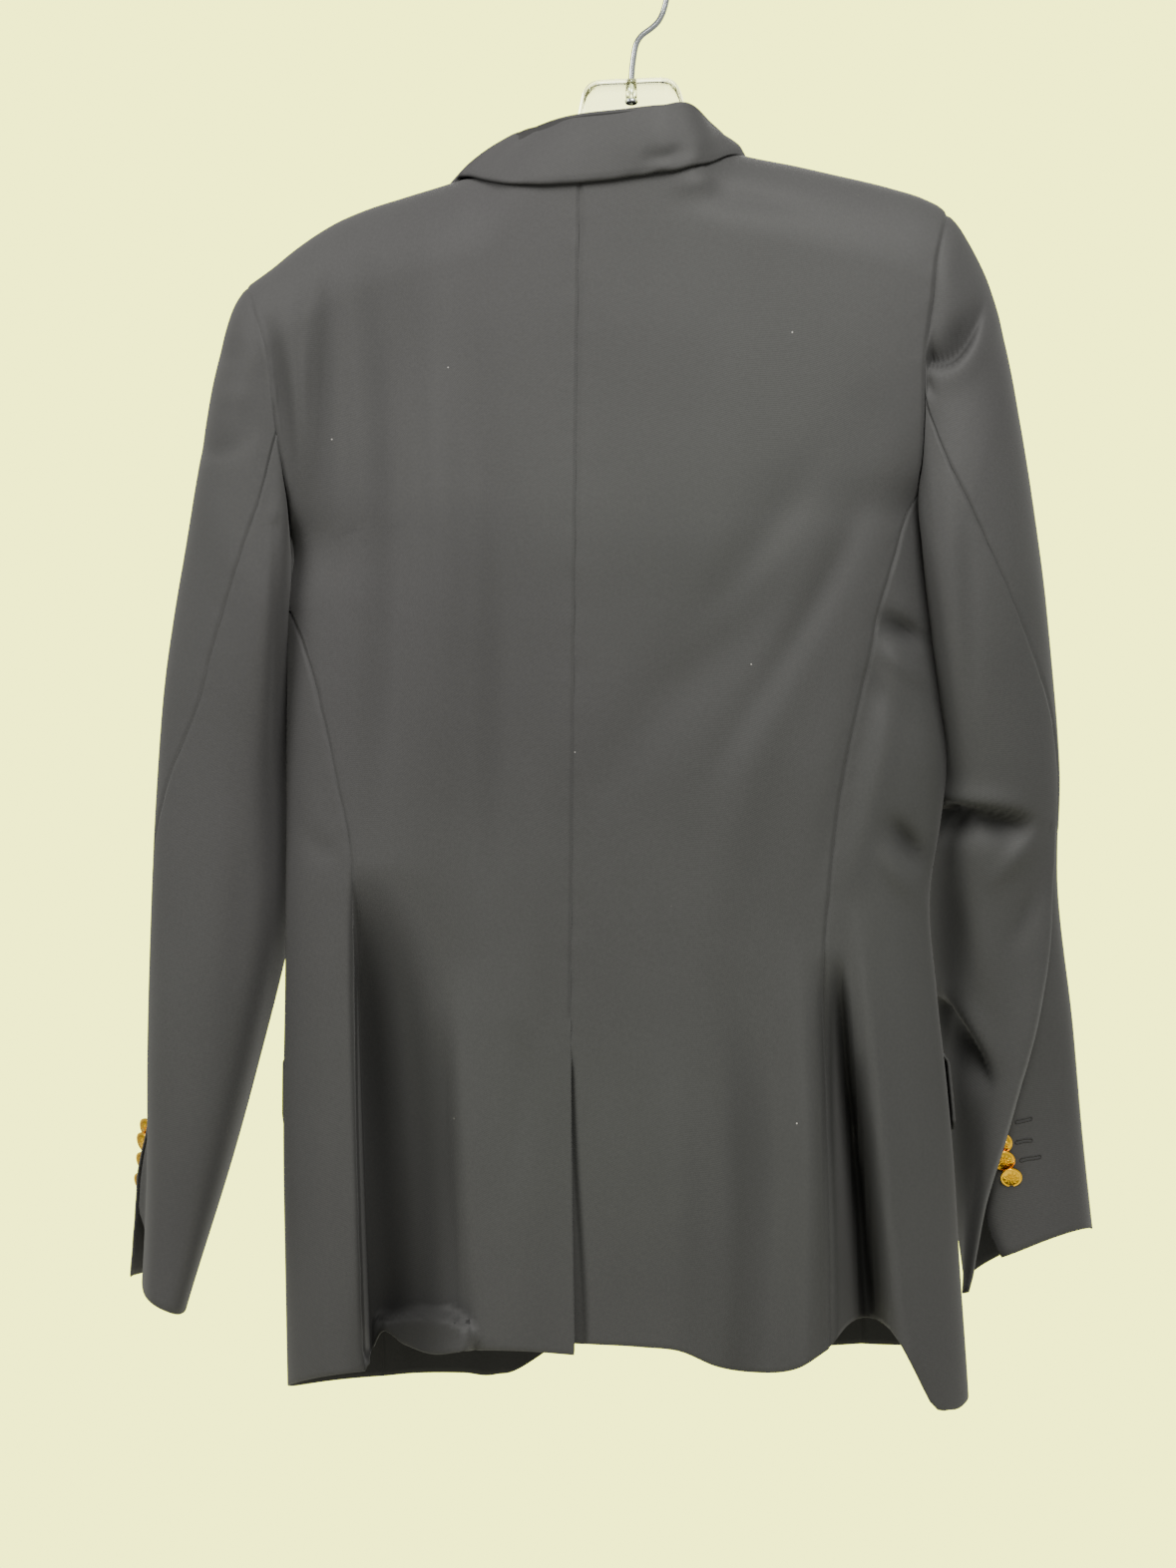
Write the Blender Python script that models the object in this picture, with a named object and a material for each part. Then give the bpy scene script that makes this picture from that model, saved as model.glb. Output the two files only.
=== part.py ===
"""A single-breasted blazer hanging on a clear hanger, seen from its back.

X runs to the wearer's right, Y to the wearer's front and Z up. The origin is the top of the
inside of the hanger's hook, where a rail carries it. All tables are in millimetres.

The garment's outline and seams were read in the plane of the hanger, y = 0. What lies nearer to
the eye looks larger than it is, so true_place moves each point along its own line of sight.
"""
import math

import bmesh
import bpy
import numpy as np

MM = 0.001                     # the tables are in millimetres, the scene in metres
WALL = 2.0                     # cloth with its interlining
SEAM_GAP = 0.6                 # between two panels at a seam, measured level; less square to it
EYE = (-28.0, -1500.0, -545.7)  # where the outline was read from
SQUARENESS = 0.05              # how far a section is fuller than an ellipse

LOWER_ROWS = 17                # rows from the hem to the armhole
UPPER_ROWS = 8                 # rows from the armhole to the shoulder
UPPER_ROWS_POWER = 1.6         # how much closer together they are at the shoulder
RIDGE_ROUND = 52.0             # height over which the shoulder rounds over
SETTLE_FROM = -180.0           # first guess of a panel's top row, and rounds to find it
SETTLE_ROUNDS = 10
EDGE_FADE = 8                  # how close to the garment's edges the folds fade out
TINY_TURN = 1e-3               # angles and heights over which a slope is measured
TINY_RISE = 0.4

# The body's edges and its depth behind and in front of the hanger, at heights z. Above the
# armholes the edges run on inside the sleeves.
BODY = {
    "z":     (-955, -930, -850, -790, -740, -680, -616, -570, -529, -480, -430, -384,
              -366, -340, -300, -250, -200, -150),
    "left":  (-222, -222.5, -224, -225, -225, -224, -223.5, -223, -223, -222.5, -222, -221,
              -232, -247, -264, -276, -282, -284),
    "right": (219, 217.5, 212, 208.5, 204, 197.5, 193, 200, 204.5, 199, 194, 190,
              189, 206, 226, 240, 246, 248),
    "back":  (60, 60, 58, 55, 52, 50, 49, 49, 50, 51, 52, 52,
              51, 49, 46, 43, 40, 38),
    "front": (58, 58, 56, 54, 52, 50, 50, 51, 53, 55, 56, 55,
              54, 52, 49, 46, 43, 42),
}
# The top of the panels: the shoulder line on each side, and the line it would follow over the
# neck, which only sets how deep the neck is.
SHOULDER = {
    "x": (-249, -233, -217, -189, -174, -145, -113, -88, -72, -33, 10, 42, 55, 71, 108, 130,
          168, 190, 200, 204.5),
    "z": (-224.5, -213, -200, -182, -175.5, -166, -156, -146.5, -122, -92, -88, -112, -134.5,
          -139, -146.5, -151.5, -160.6, -167.7, -173, -177),
}
NECK_SEAM = {                  # the top of the back panels under the collar
    "x": (-88, -75, -60, -33, 10, 35, 48, 55),
    "z": (-146.5, -147.5, -147.5, -147, -145, -142, -138, -134.5),
}
CENTRE_BACK = {"z": (-955, -713, -616, -320, -150), "x": (-36.5, -39.3, -38.4, -35.5, -33.5)}
VENT_TOP = -713.0
VENT_UNDERLAP = 38.0           # how far the right back runs on under the left
VENT_STEP = 4.6                # how much deeper the underlap lies
VENT_ROLL = 6.0                # width over which the right back goes down to it
VENT_RUN_OUT = 24.0            # height over which it comes back up at the vent's top
VENT_GAPE = {"z": (-955, -870, -790, -713), "open": (9.5, 8.0, 4.0, 0.6)}

# Seams between the back and the side bodies, on the back of the garment.
SIDE_BACK_LEFT = {
    "z": (-955, -925, -761, -688, -629, -584, -540, -497, -455, -431, -384),
    "x": (-171, -172, -177, -178, -179, -182.5, -191.6, -201, -212.8, -222, -224),
}
SIDE_BACK_RIGHT = {
    "z": (-955, -909, -760, -639, -619, -554, -513, -468, -428, -395, -373, -357),
    "x": (129, 129, 127.5, 125.8, 127.7, 135, 143, 153.5, 162, 172, 178, 186.5),
}
# Seams between the side bodies and the fronts, on the front of the garment.
SIDE_FRONT_LEFT = {"z": (-955, -760, -616, -470, -360), "x": (-160, -166, -168, -186, -214)}
SIDE_FRONT_RIGHT = {"z": (-955, -760, -616, -470, -350), "x": (150, 146, 142, 160, 185)}

# Armholes: the shoulder point, the lowest point, and the seam on the back and on the front.
ARMHOLE_LEFT = {
    "shoulder": (-249.0, -224.5), "underarm": (-221.0, -384.0),
    "back_z": (-384, -361, -332, -305, -271, -247, -224.5),
    "back_x": (-221, -222.5, -227, -231, -235.5, -242, -249),
    "front_z": (-384, -360, -330, -300, -260, -237, -224.5),
    "front_x": (-221, -214, -209, -210, -222, -238, -249),
}
ARMHOLE_RIGHT = {
    "shoulder": (204.5, -177.0), "underarm": (189.0, -366.0),
    "back_z": (-366, -357, -335, -299, -269, -235, -207, -177),
    "back_x": (189, 186.5, 188.5, 190, 190.5, 194.8, 198, 204.5),
    "front_z": (-366, -350, -325, -295, -260, -225, -195, -177),
    "front_x": (189, 185, 179, 176, 177, 183, 194, 204.5),
}

# How high the side seams reach, where they end at the armholes. The panels' rows run level with
# these heights at the seams, and with the third of each line at the middle.
BACK_SPLIT_LEFT, BACK_SPLIT_RIGHT, CENTRE_SPLIT = -384.0, -357.0, -375.0
FRONT_SPLIT_LEFT, FRONT_SPLIT_RIGHT, EDGE_SPLIT = -360.0, -350.0, -372.0
UNDERARM_CURVE = 1.7           # how flat the bottom of the armhole is
UNDERARM_FADE = 6              # how close to the armhole the side body's rows bend to meet it

# Heights of the hem where the panels meet and between, across each panel.
HEM = {
    "back_left":   {"u": (0, .1, .25, .4, .55, .8, 1),
                    "z": (-925, -901, -908, -914, -912, -912, -914.5)},
    "back_right":  {"u": (0, .25, .38, .52, .66, .85, 1),
                    "z": (-907, -909.5, -912, -922, -925.6, -923, -910)},
    "side_left":   {"u": (0, .35, .6, 1), "z": (-925, -933, -934.5, -928)},
    "side_right":  {"u": (0, .03, .116, .16, .236, .315, .45, .529, .65, .8, 1),
                    "z": (-909.5, -896, -897.5, -915, -947, -950, -945, -941, -930, -912, -907)},
    "front_left":  {"u": (0, .3, .6, .8, .92, 1), "z": (-928, -926, -926, -927, -921, -900)},
    "front_right": {"u": (0, .3, .6, .8, .92, 1), "z": (-907, -909, -912, -914, -911, -895)},
}

# The largest folds. Each runs from its top to its bottom, swells over its length and lies on the
# back or the front; depth is positive outwards. One that reaches the hem stays open there.
FOLDS = (
    # layer,  x_top, z_top, x_low, z_low, width, depth, at_hem
    ("back",  -125, -560, -150, -930, 27, -15, True),    # hollow beside the left side seam
    ("back",   -72, -590,  -78, -930, 26,   7, True),    # the ridge beside it
    ("back",   138, -585,  149, -930, 13, -26, True),    # deep pleat at the right side seam
    ("back",   108, -640,  112, -930, 16,   4, True),    # swell inside that pleat
    ("back",   190, -700,  196, -950, 14,   5, True),    # roll outside it
    ("back",  -200, -235, -212, -420, 10,  -6, False),   # fold along the left armhole
    ("back",  -178, -200, -172, -560, 15,  -4, False),   # drapes from the left shoulder
    ("back",  -128, -230, -140, -600, 20,   3, False),
    ("back",   138, -330,    8, -520, 26,  -4, False),   # drape across the right shoulder blade
    ("back",    60, -250,   40, -560, 30,   3, False),
    ("back",   176, -440,  188, -470, 12,  -5, False),   # dimples pressed by the right sleeve
    ("back",   180, -570,  186, -600, 12,  -5, False),
    ("front", -110, -600, -125, -930, 26,  -8, True),
    ("front",   88, -610,  104, -930, 24,  -9, True),
    ("front", -150, -240, -140, -520, 18,  -4, False),
    ("front",  120, -230,  112, -500, 18,  -4, False),
)

FOLD_TAPER = 0.7               # part of a fold's length over which its ends die away

# Front edges below the button and roll lines above it, and the lapels' outer edges.
FRONT_EDGE_LEFT = {
    "z": (-928, -915, -900, -860, -800, -700, -600, -560, -500, -400, -300, -200, -146.5),
    "x": (-66, -52, -38, -17, -2, 8, 12, 13, -2, -26, -50.5, -75, -88),
}
FRONT_EDGE_RIGHT = {
    "z": (-928, -915, -900, -860, -800, -700, -600, -560, -500, -400, -300, -200, -134.5),
    "x": (50, 36, 22, 2, -13, -22, -25, -26, -14.5, 4.5, 23.5, 42.5, 55),
}
FRONT_STEP = 9.5               # how much deeper the right front lies where the left one laps it
FRONT_CLEAR = 30.0             # how far beyond the left front's edge it begins to go down
FRONT_ROLL = 21.0              # width over which it does so
LAPEL_LIFT = 5.2               # outer face of a lapel over the front's
LAPEL_ROLL_LIFT = {"left": 2.7, "right": 4.8}  # the same at the roll line, where it folds over
GORGE_Z = -213.0               # the lapel's top edge, at the roll line and at its point
POINT_Z = -227.0
LAPEL_FOOT = -550.0
LAPEL_LEFT = {"z": (-550, -500, -400, -300, -240, -226), "x": (9, -34, -86, -130, -158, -162)}
LAPEL_RIGHT = {"z": (-550, -500, -400, -300, -240, -226), "x": (-22, 16, 64, 106, 131, 135)}

# Sleeves, by rings from the armhole down to the cuff. Each ring is a flattened oval between a
# point on the sleeve's outer edge and one on its inner edge; lean turns its near side away from
# the body, and hind and fore are the angles of its two seams, from the outer edge round the back.
SLEEVE_LEFT = {
    "t":       (0, .05, .12, .22, .33, .44, .54, .64, .74, .84, .93, 1),
    "outer_x": (-249, -258, -269, -279, -287, -294, -299.5, -304.5, -308.5, -311.5, -313, -316.5),
    "outer_z": (-224.5, -240, -280, -338, -395, -445, -492, -560, -625, -716, -800, -868),
    "inner_x": (-221, -226.5, -228.5, -226, -223, -221.5, -220.5, -219.5, -222, -239, -262, -287),
    "inner_z": (-384, -394, -412, -445, -482, -516, -548, -596, -642, -716, -802, -880),
    "half_y":  (40, 40, 42, 46, 50, 53, 54, 55, 55, 55, 54, 53),
    "mid_y":   (0, 1, 6, 16, 24, 30, 34, 36, 37, 36, 34, 32),
    "tilt":    (0, 0, 0, 0, 0, 0, 0, 2, 4, 7, 10, 12),
    "lean":    (0, 2, 7, 15, 21, 23, 22, 18, 12, 8, 4, 0),
    "hind":    (100, 100, 101, 97, 93, 88, 80, 48, 12, -4, -12, -14),
    "fore":    (214, 214, 214, 216, 218, 220, 222, 222, 222, 220, 216, 214),
}
SLEEVE_RIGHT = {
    "t":       (0, .05, .12, .22, .33, .44, .54, .64, .74, .84, .93, 1),
    "outer_x": (204.5, 213, 229, 242, 251.5, 261, 268.5, 274.5, 273, 284, 292, 298.5),
    "outer_z": (-177, -187, -217, -262, -312, -376, -440, -534, -612, -700, -775, -833),
    "inner_x": (189, 193.8, 196, 198, 200.5, 205, 208, 205.5, 199, 207, 211, 217),
    "inner_z": (-366, -377, -396, -424, -456, -496, -530, -566, -634, -718, -800, -871),
    "half_y":  (40, 40, 42, 46, 50, 52, 53, 52, 50, 48, 45, 44),
    "mid_y":   (0, 0, 2, 6, 10, 14, 19, 26, 40, 52, 55, 55),
    "tilt":    (0, 0, 0, 0, 0, 0, 0, 1, 3, 6, 9, 11),
    "lean":    (0, 0, 4, 8, 10, 11, 12, 14, 16, 14, 10, 5),
    "hind":    (104, 104, 104, 99, 91, 79, 65, 38, 58, 91, 119, 146),
    "fore":    (214, 214, 214, 216, 218, 221, 225, 230, 238, 248, 260, 275),
}
SLEEVE_ROWS = 20
SLEEVE_START = 0.004           # the first ring, so far along that it clears the armhole
SLEEVE_GAP = 0.6               # between a sleeve's two pieces, square to the seam
SLEEVE_BLEND = 0.28            # how far along it the sleeve keeps something of the armhole's form
ARM_FOLDS = {                  # sleeve folds: ring, angle, widths along and round, depth
    "left": ((.30, 120, .10, 40, -3), (.62, 60, .16, 34, -3), (.78, 130, .12, 40, 3)),
    "right": ((.18, 75, .045, 55, -7), (.67, 95, .035, 60, -9), (.73, 80, .05, 60, 6),
              (.86, 130, .12, 30, -5)),
}

# The collar, along its fold from the left front round the neck to the right front: the fold, the
# edge of the fall and the seam of the stand.
COLLAR = {
    "s":       (0, .09, .15, .19, .22, .31, .40, .50, .60, .68, .725, .76, .79, .84, .90, 1),
    "fold_x":  (-71, -79, -83, -82, -79, -60, -37, -3, 20, 38, 48, 56, 55, 51, 45, 38),
    "fold_y":  (50, 48, 41, 25, 3, -24, -33, -37, -35, -27, -14, 3, 23, 39, 46, 50),
    "fold_z":  (-205, -178, -158, -144, -137, -127, -114.5, -109, -106.4, -106, -115, -124, -131,
                -143, -165, -203),
    "fall_x":  (-118, -128, -126, -119, -112, -93, -66, -22, 14, 42, 59, 72, 80, 86, 92, 98),
    "fall_z":  (-209, -189, -174, -161, -155.5, -157, -157.5, -155, -150, -145.5, -142.3,
                -139.3, -145, -160, -180, -206),
    "stand_x": (-68, -75, -81, -84, -86, -72, -45, -8, 15, 31, 43, 53, 51.5, 48, 43, 35),
    "stand_z": (-211, -184, -163, -151, -145.4, -146.7, -146.5, -145, -143.5, -141.5, -139,
                -133.9, -139, -151, -170, -209),
}
NECK_SIDES = (0.22, 0.76)      # where the collar passes from the front to the back, and back
COLLAR_COLUMNS = 34
COLLAR_ROUND = 3.2             # radius of the fold
COLLAR_LIFT = 4.6              # outer face of the fall's edge over the body
COLLAR_SWELL = 2.5             # how far the fall swells between its fold and its edge
COLLAR_UNDER = 2.0             # how far the stand lies inside the fronts

CUFF_BUTTON = 14.0             # diameters and thickness of the metal buttons
FRONT_BUTTON = 20.0
BUTTON_THICK = 4.0
BUTTON_LIFT = 1.3              # from the cloth to the button's back
SHANK = (2.0, 0.8)             # radius and length of its shank, which almost meets the cloth
FRONT_BUTTONS = ((1.5, -571.0), (-3.0, -672.0))
CUFF_ROWS = {                  # how far down the sleeve, and degrees beside the hind seam
    "left": ((0.894, 12), (0.911, 12), (0.928, 12), (0.945, 12)),
    "right": ((0.881, 11), (0.898, 11), (0.915, 12), (0.932, 12)),
}

FLAP_HEIGHT = 50.0
FLAP_TOP = -720.0
FLAP_LEFT = (-222.5, -75.0)    # ends of the flaps, as x on the front
FLAP_RIGHT = (203.0, 62.0)
FLAP_LIFT = 3.6
FLAP_CORNER = 0.14             # how far up the lower corners are rounded, as part of the height

NECK_BASE = -103.0             # where the wire leaves the plastic
HANGER_TILT = math.radians(2.3)  # the garment has slipped, and pulls the left arm down
HANGER_THICK = 8.0
HANGER = {                     # one half of the hanger: its top and bottom lines
    "x":      (4.5, 5.5, 24, 29, 34, 40, 71, 110, 145, 170, 185, 195),
    "top":    (-103, -91.5, -91.5, -95, -112, -137, -148.5, -157.8, -167, -174.5, -181, -190),
    "bottom": (-148, -148, -149, -150, -151.5, -154, -166, -176, -185.5, -193, -198, -202),
}
WIRE = 3.8
HOOK_RADIUS = 26.0
HOOK_STEM = ((0, -102.6), (0, -97), (0, -91), (0.6, -82), (2, -72), (3.2, -66.5), (6.5, -61.5),
             (12.5, -57.5), (17.5, -53), (20.5, -47), (22.2, -41))
HOOK_TURN = (-26.0, 212.0)     # where the loop begins and ends, in degrees from the right
HOOK_STEPS = 26


def clear_scene():
    for old in list(bpy.data.objects):
        bpy.data.objects.remove(old, do_unlink=True)


def finish_of(name, colour, roughness, metallic=0.0, transmission=0.0):
    """One material for one object."""
    material = bpy.data.materials.new(name)
    material.use_nodes = True
    shader = material.node_tree.nodes["Principled BSDF"]
    shader.inputs["Base Color"].default_value = (*colour, 1.0)
    shader.inputs["Roughness"].default_value = roughness
    shader.inputs["Metallic"].default_value = metallic
    shader.inputs["Transmission Weight"].default_value = transmission
    return material


def wool(name):
    return finish_of(name + "_wool", (0.045, 0.045, 0.046), 0.75)


def gold(name):
    return finish_of(name + "_gold", (0.83, 0.55, 0.14), 0.28, metallic=1.0)


def read(table, column, at, key="z"):
    """A smooth curve through a table's rows: cubic pieces with central-difference slopes."""
    knots = np.asarray(table[key], float)
    values = np.asarray(table[column], float)
    at = np.asarray(at, float)
    slopes = np.gradient(values, knots)
    low = np.clip(np.searchsorted(knots, at) - 1, 0, len(knots) - 2)
    span = knots[low + 1] - knots[low]
    t = np.clip((at - knots[low]) / span, 0.0, 1.0)
    rise = (2 * t**3 - 3 * t**2 + 1) * values[low] + (t**3 - 2 * t**2 + t) * span * slopes[low]
    return rise + (3 * t**2 - 2 * t**3) * values[low + 1] + (t**3 - t**2) * span * slopes[low + 1]


def smooth_step(t):
    t = np.clip(t, 0.0, 1.0)
    return t * t * (3 - 2 * t)


def true_place(points):
    """Moves points, in millimetres, along their lines of sight to their true x and z."""
    nearer = points[..., 1:2] / -EYE[1]
    place = points.copy()
    place[..., 0:1] += (points[..., 0:1] - EYE[0]) * nearer
    place[..., 2:3] += (points[..., 2:3] - EYE[2]) * nearer
    return place


def oval_across(angle):
    """How far across a section's outline is at an angle, from -1 to 1; 0 is the mid back."""
    return (np.sin(angle) + SQUARENESS * np.sin(3 * angle)) / (1 - SQUARENESS)


def oval_deep(angle):
    return (np.cos(angle) - SQUARENESS * np.cos(3 * angle)) / (1 - SQUARENESS)


QUARTERS = np.linspace(-math.pi / 2, math.pi / 2, 721)
ACROSS = oval_across(QUARTERS)


def angle_at(x, z, layer):
    """The body angle of the point at x on the back or on one of the fronts, at height z."""
    left, right = read(BODY, "left", z), read(BODY, "right", z)
    across = np.clip((x - (left + right) / 2) / ((right - left) / 2), -1.0, 1.0)
    angle = np.interp(across, ACROSS, QUARTERS)
    if layer == "back":
        return angle
    return (-math.pi if layer == "front_left" else math.pi) - angle


def fold_push(x, z, near):
    """The sum of the folds at x and z: soft troughs and ridges across, swelling along."""
    push = np.zeros_like(x)
    for layer, x_top, z_top, x_low, z_low, width, depth, at_hem in FOLDS:
        along = (z_top - z) / (z_top - z_low)
        middle = x_top + (x_low - x_top) * along
        if at_hem:
            swell = smooth_step(along)
        else:
            swell = smooth_step(along / FOLD_TAPER + 0.5) * smooth_step((1 - along) / FOLD_TAPER + 0.5)
        on_layer = near if layer == "back" else ~near
        push += on_layer * depth * swell * np.exp(-(((x - middle) / width) ** 2))
    return push


def body(angle, z, step=None):
    """Points of the outer face of the body: oval sections whose depth dies away at the shoulder."""
    left, right = read(BODY, "left", z), read(BODY, "right", z)
    x = (left + right) / 2 + (right - left) / 2 * oval_across(angle)
    near = np.cos(angle) > 0
    depth = np.where(near, read(BODY, "back", z), read(BODY, "front", z))
    below = np.clip((read(SHOULDER, "z", x, key="x") - z) / RIDGE_ROUND, 0.0, 1.0)
    ridge = np.sqrt(1 - (1 - below) ** 2)
    flat = 1 - oval_across(angle) ** EDGE_FADE
    push = fold_push(x, z, near) * flat * smooth_step(below * 1.5)
    if step is not None:
        push = push + step(x, z)
    y = -depth * oval_deep(angle) * ridge - np.sign(np.cos(angle)) * push
    return np.stack([x, y, z], -1)


def wall(name, outer, inner, material, keep=None):
    """A closed wall between two grids of points in millimetres; keep picks the cells it has."""
    rows, columns = outer.shape[:2]
    index = np.arange(rows * columns).reshape(rows, columns)
    cells = np.ones((rows - 1, columns - 1), bool) if keep is None else keep
    a, b = index[:-1, :-1][cells], index[:-1, 1:][cells]
    c, d = index[1:, 1:][cells], index[1:, :-1][cells]
    front = np.concatenate([np.stack([a, b, c], -1), np.stack([a, c, d], -1)])
    back = front[:, ::-1] + rows * columns
    sides = np.concatenate([front[:, [0, 1]], front[:, [1, 2]], front[:, [2, 0]]])
    known = {tuple(side) for side in sides.tolist()}
    rim = np.array([side for side in known if side[::-1] not in known])
    over = rim + rows * columns
    rims = np.concatenate([np.stack([rim[:, 1], rim[:, 0], over[:, 0]], -1),
                           np.stack([rim[:, 1], over[:, 0], over[:, 1]], -1)])
    faces = np.concatenate([front, back, rims])
    used, faces = np.unique(faces, return_inverse=True)
    points = np.concatenate([outer.reshape(-1, 3), inner.reshape(-1, 3)])[used] * MM
    return solid(name, points, faces.reshape(-1, 3), material)


def solid(name, points, faces, material):
    """A named object from points in metres, with its faces turned outwards."""
    mesh = bpy.data.meshes.new(name)
    mesh.from_pydata(np.asarray(points).tolist(), [], np.asarray(faces).tolist())
    shape = bmesh.new()
    shape.from_mesh(mesh)
    bmesh.ops.recalc_face_normals(shape, faces=shape.faces)
    shape.to_mesh(mesh)
    shape.free()
    mesh.shade_smooth()
    mesh.materials.append(material)
    made = bpy.data.objects.new(name, mesh)
    bpy.context.scene.collection.objects.link(made)
    return made


def shoulder_line(x):
    return read(SHOULDER, "z", x, key="x")


def neck_line(x):
    """The top of the back panels: the shoulder line, and the neck seam between."""
    in_neck = (x > NECK_SEAM["x"][0]) & (x < NECK_SEAM["x"][-1])
    return np.where(in_neck, read(NECK_SEAM, "z", x, key="x"), shoulder_line(x))


def armhole_angle(armhole, side, layer, z):
    """The body angle of the armhole seam at height z, on the back or on one of the fronts."""
    rows = {"z": armhole[side + "_z"], "x": armhole[side + "_x"]}
    return angle_at(read(rows, "x", z), z, layer)


def row_heights(bottom, split, top):
    """Heights of a panel's rows: even ones to the armhole, then closer ones to the top."""
    lower = np.linspace(0, 1, LOWER_ROWS + 1)[:, None]
    upper = 1 - (1 - np.linspace(0, 1, UPPER_ROWS + 1)[1:, None]) ** UPPER_ROWS_POWER
    return np.concatenate([bottom + (split - bottom) * lower, split + (top - split) * upper])


def draw_in(from_angle, to_angle, z):
    """Both edges of a panel drawn in by half a seam's gap."""
    way = np.sign(to_angle - from_angle)
    edges = []
    for angle, inward in ((from_angle, way), (to_angle, -way)):
        travel = body(angle + TINY_TURN, z) - body(angle - TINY_TURN, z)
        edges.append(angle + inward * SEAM_GAP * TINY_TURN / np.linalg.norm(travel, axis=-1))
    return edges


def faced(angle, z, outward, step=None):
    """Points of the body's surface with their normals, which point away from the hollow."""
    across = body(angle + TINY_TURN, z, step) - body(angle - TINY_TURN, z, step)
    up = body(angle, z + TINY_RISE, step) - body(angle, z - TINY_RISE, step)
    normal = np.cross(across, up) * outward
    return body(angle, z, step), normal / np.linalg.norm(normal, axis=-1, keepdims=True)


def settle(u, bottom, split, edges, top):
    """Angles and heights of a panel's points, whose top row lies on a line over x."""
    line = np.full_like(bottom, SETTLE_FROM)
    for _ in range(SETTLE_ROUNDS):
        z = row_heights(bottom, split, line)
        first, last = draw_in(*edges(z), z)
        angle = first + (last - first) * u
        line = top(body(angle[-1:], z[-1:])[..., 0])
    return angle, z


def cloth_panel(name, angle, z, step=None, lift=0.0, keep=None, ridge_side=None):
    """A wall on the body's surface at a grid of angles and heights; gives its outer points."""
    outer, normal = faced(angle, z, 1, step)
    outer = outer + normal * lift
    inner = outer - normal * WALL
    if ridge_side is not None:
        for face in (outer, inner):
            face[-1, :, 1] = ridge_side * np.maximum(ridge_side * face[-1, :, 1], SEAM_GAP / 2)
    wall(name, true_place(outer), true_place(inner), wool(name), keep)
    return outer


def side_or_armhole(seam, armhole, side, layer, split):
    """The outer edge of a back or front: the side seam, and the armhole above its split."""
    def angle(z):
        on_seam = angle_at(read(seam, "x", z), z, layer)
        return np.where(z >= split - 1e-6, armhole_angle(armhole, side, layer, z), on_seam)
    return angle


def centre_back(z):
    return angle_at(read(CENTRE_BACK, "x", z), z, "back")


def make_back_left(columns=14):
    u = np.linspace(0, 1, columns + 1)[None, :]
    outer_edge = side_or_armhole(SIDE_BACK_LEFT, ARMHOLE_LEFT, "back", "back", BACK_SPLIT_LEFT)
    angle, z = settle(u, read(HEM["back_left"], "z", u, key="u"),
                      BACK_SPLIT_LEFT + (CENTRE_SPLIT - BACK_SPLIT_LEFT) * u,
                      lambda z: (outer_edge(z), centre_back(z)), neck_line)
    return cloth_panel("back_left", angle, z, ridge_side=-1)


def vent_step(x, z):
    """How much deeper the right back lies where the left laps over it, below the vent's top."""
    open_to = read(CENTRE_BACK, "x", z) + read(VENT_GAPE, "open", z)
    across = smooth_step((open_to - x) / VENT_ROLL + 0.5)
    return -VENT_STEP * across * smooth_step((VENT_TOP - z) / VENT_RUN_OUT)


def make_back_right(columns=14, lap_columns=2):
    u = np.linspace(0, 1, columns + 1)[None, :]
    outer_edge = side_or_armhole(SIDE_BACK_RIGHT, ARMHOLE_RIGHT, "back", "back", BACK_SPLIT_RIGHT)
    angle, z = settle(u, read(HEM["back_right"], "z", u, key="u"),
                      CENTRE_SPLIT + (BACK_SPLIT_RIGHT - CENTRE_SPLIT) * u,
                      lambda z: (centre_back(z), outer_edge(z)), neck_line)
    lap = np.linspace(-1, 0, lap_columns + 1)[:-1]
    travel = body(angle[:, :1] + TINY_TURN, z[:, :1]) - body(angle[:, :1], z[:, :1])
    lap_angle = angle[:, :1] + lap * VENT_UNDERLAP * TINY_TURN / np.linalg.norm(travel, axis=-1)
    angle = np.concatenate([lap_angle, angle], 1)
    z = np.concatenate([np.repeat(z[:, :1], lap_columns, 1), z], 1)
    keep = np.ones((z.shape[0] - 1, z.shape[1] - 1), bool)
    keep[:, :lap_columns] = z[1:, :1] < VENT_TOP - VENT_RUN_OUT
    return cloth_panel("back_right", angle, z, step=vent_step, keep=keep, ridge_side=-1)


def front_step(x, z):
    """How much deeper the right front lies where the left one laps over it."""
    clear_of_edge = read(FRONT_EDGE_LEFT, "x", z) + FRONT_CLEAR
    return -FRONT_STEP * smooth_step((clear_of_edge - x) / FRONT_ROLL)


def make_front(side, seam, armhole, split, edge, step=None, columns=11):
    name = "front_" + side
    u = np.linspace(0, 1, columns + 1)[None, :]
    outer_edge = side_or_armhole(seam, armhole, "front", name, split)
    angle, z = settle(u, read(HEM[name], "z", u, key="u"), split + (EDGE_SPLIT - split) * u,
                      lambda z: (outer_edge(z), angle_at(read(edge, "x", z), z, name)),
                      shoulder_line)
    return cloth_panel(name, angle, z, step=step, ridge_side=1)


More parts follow.
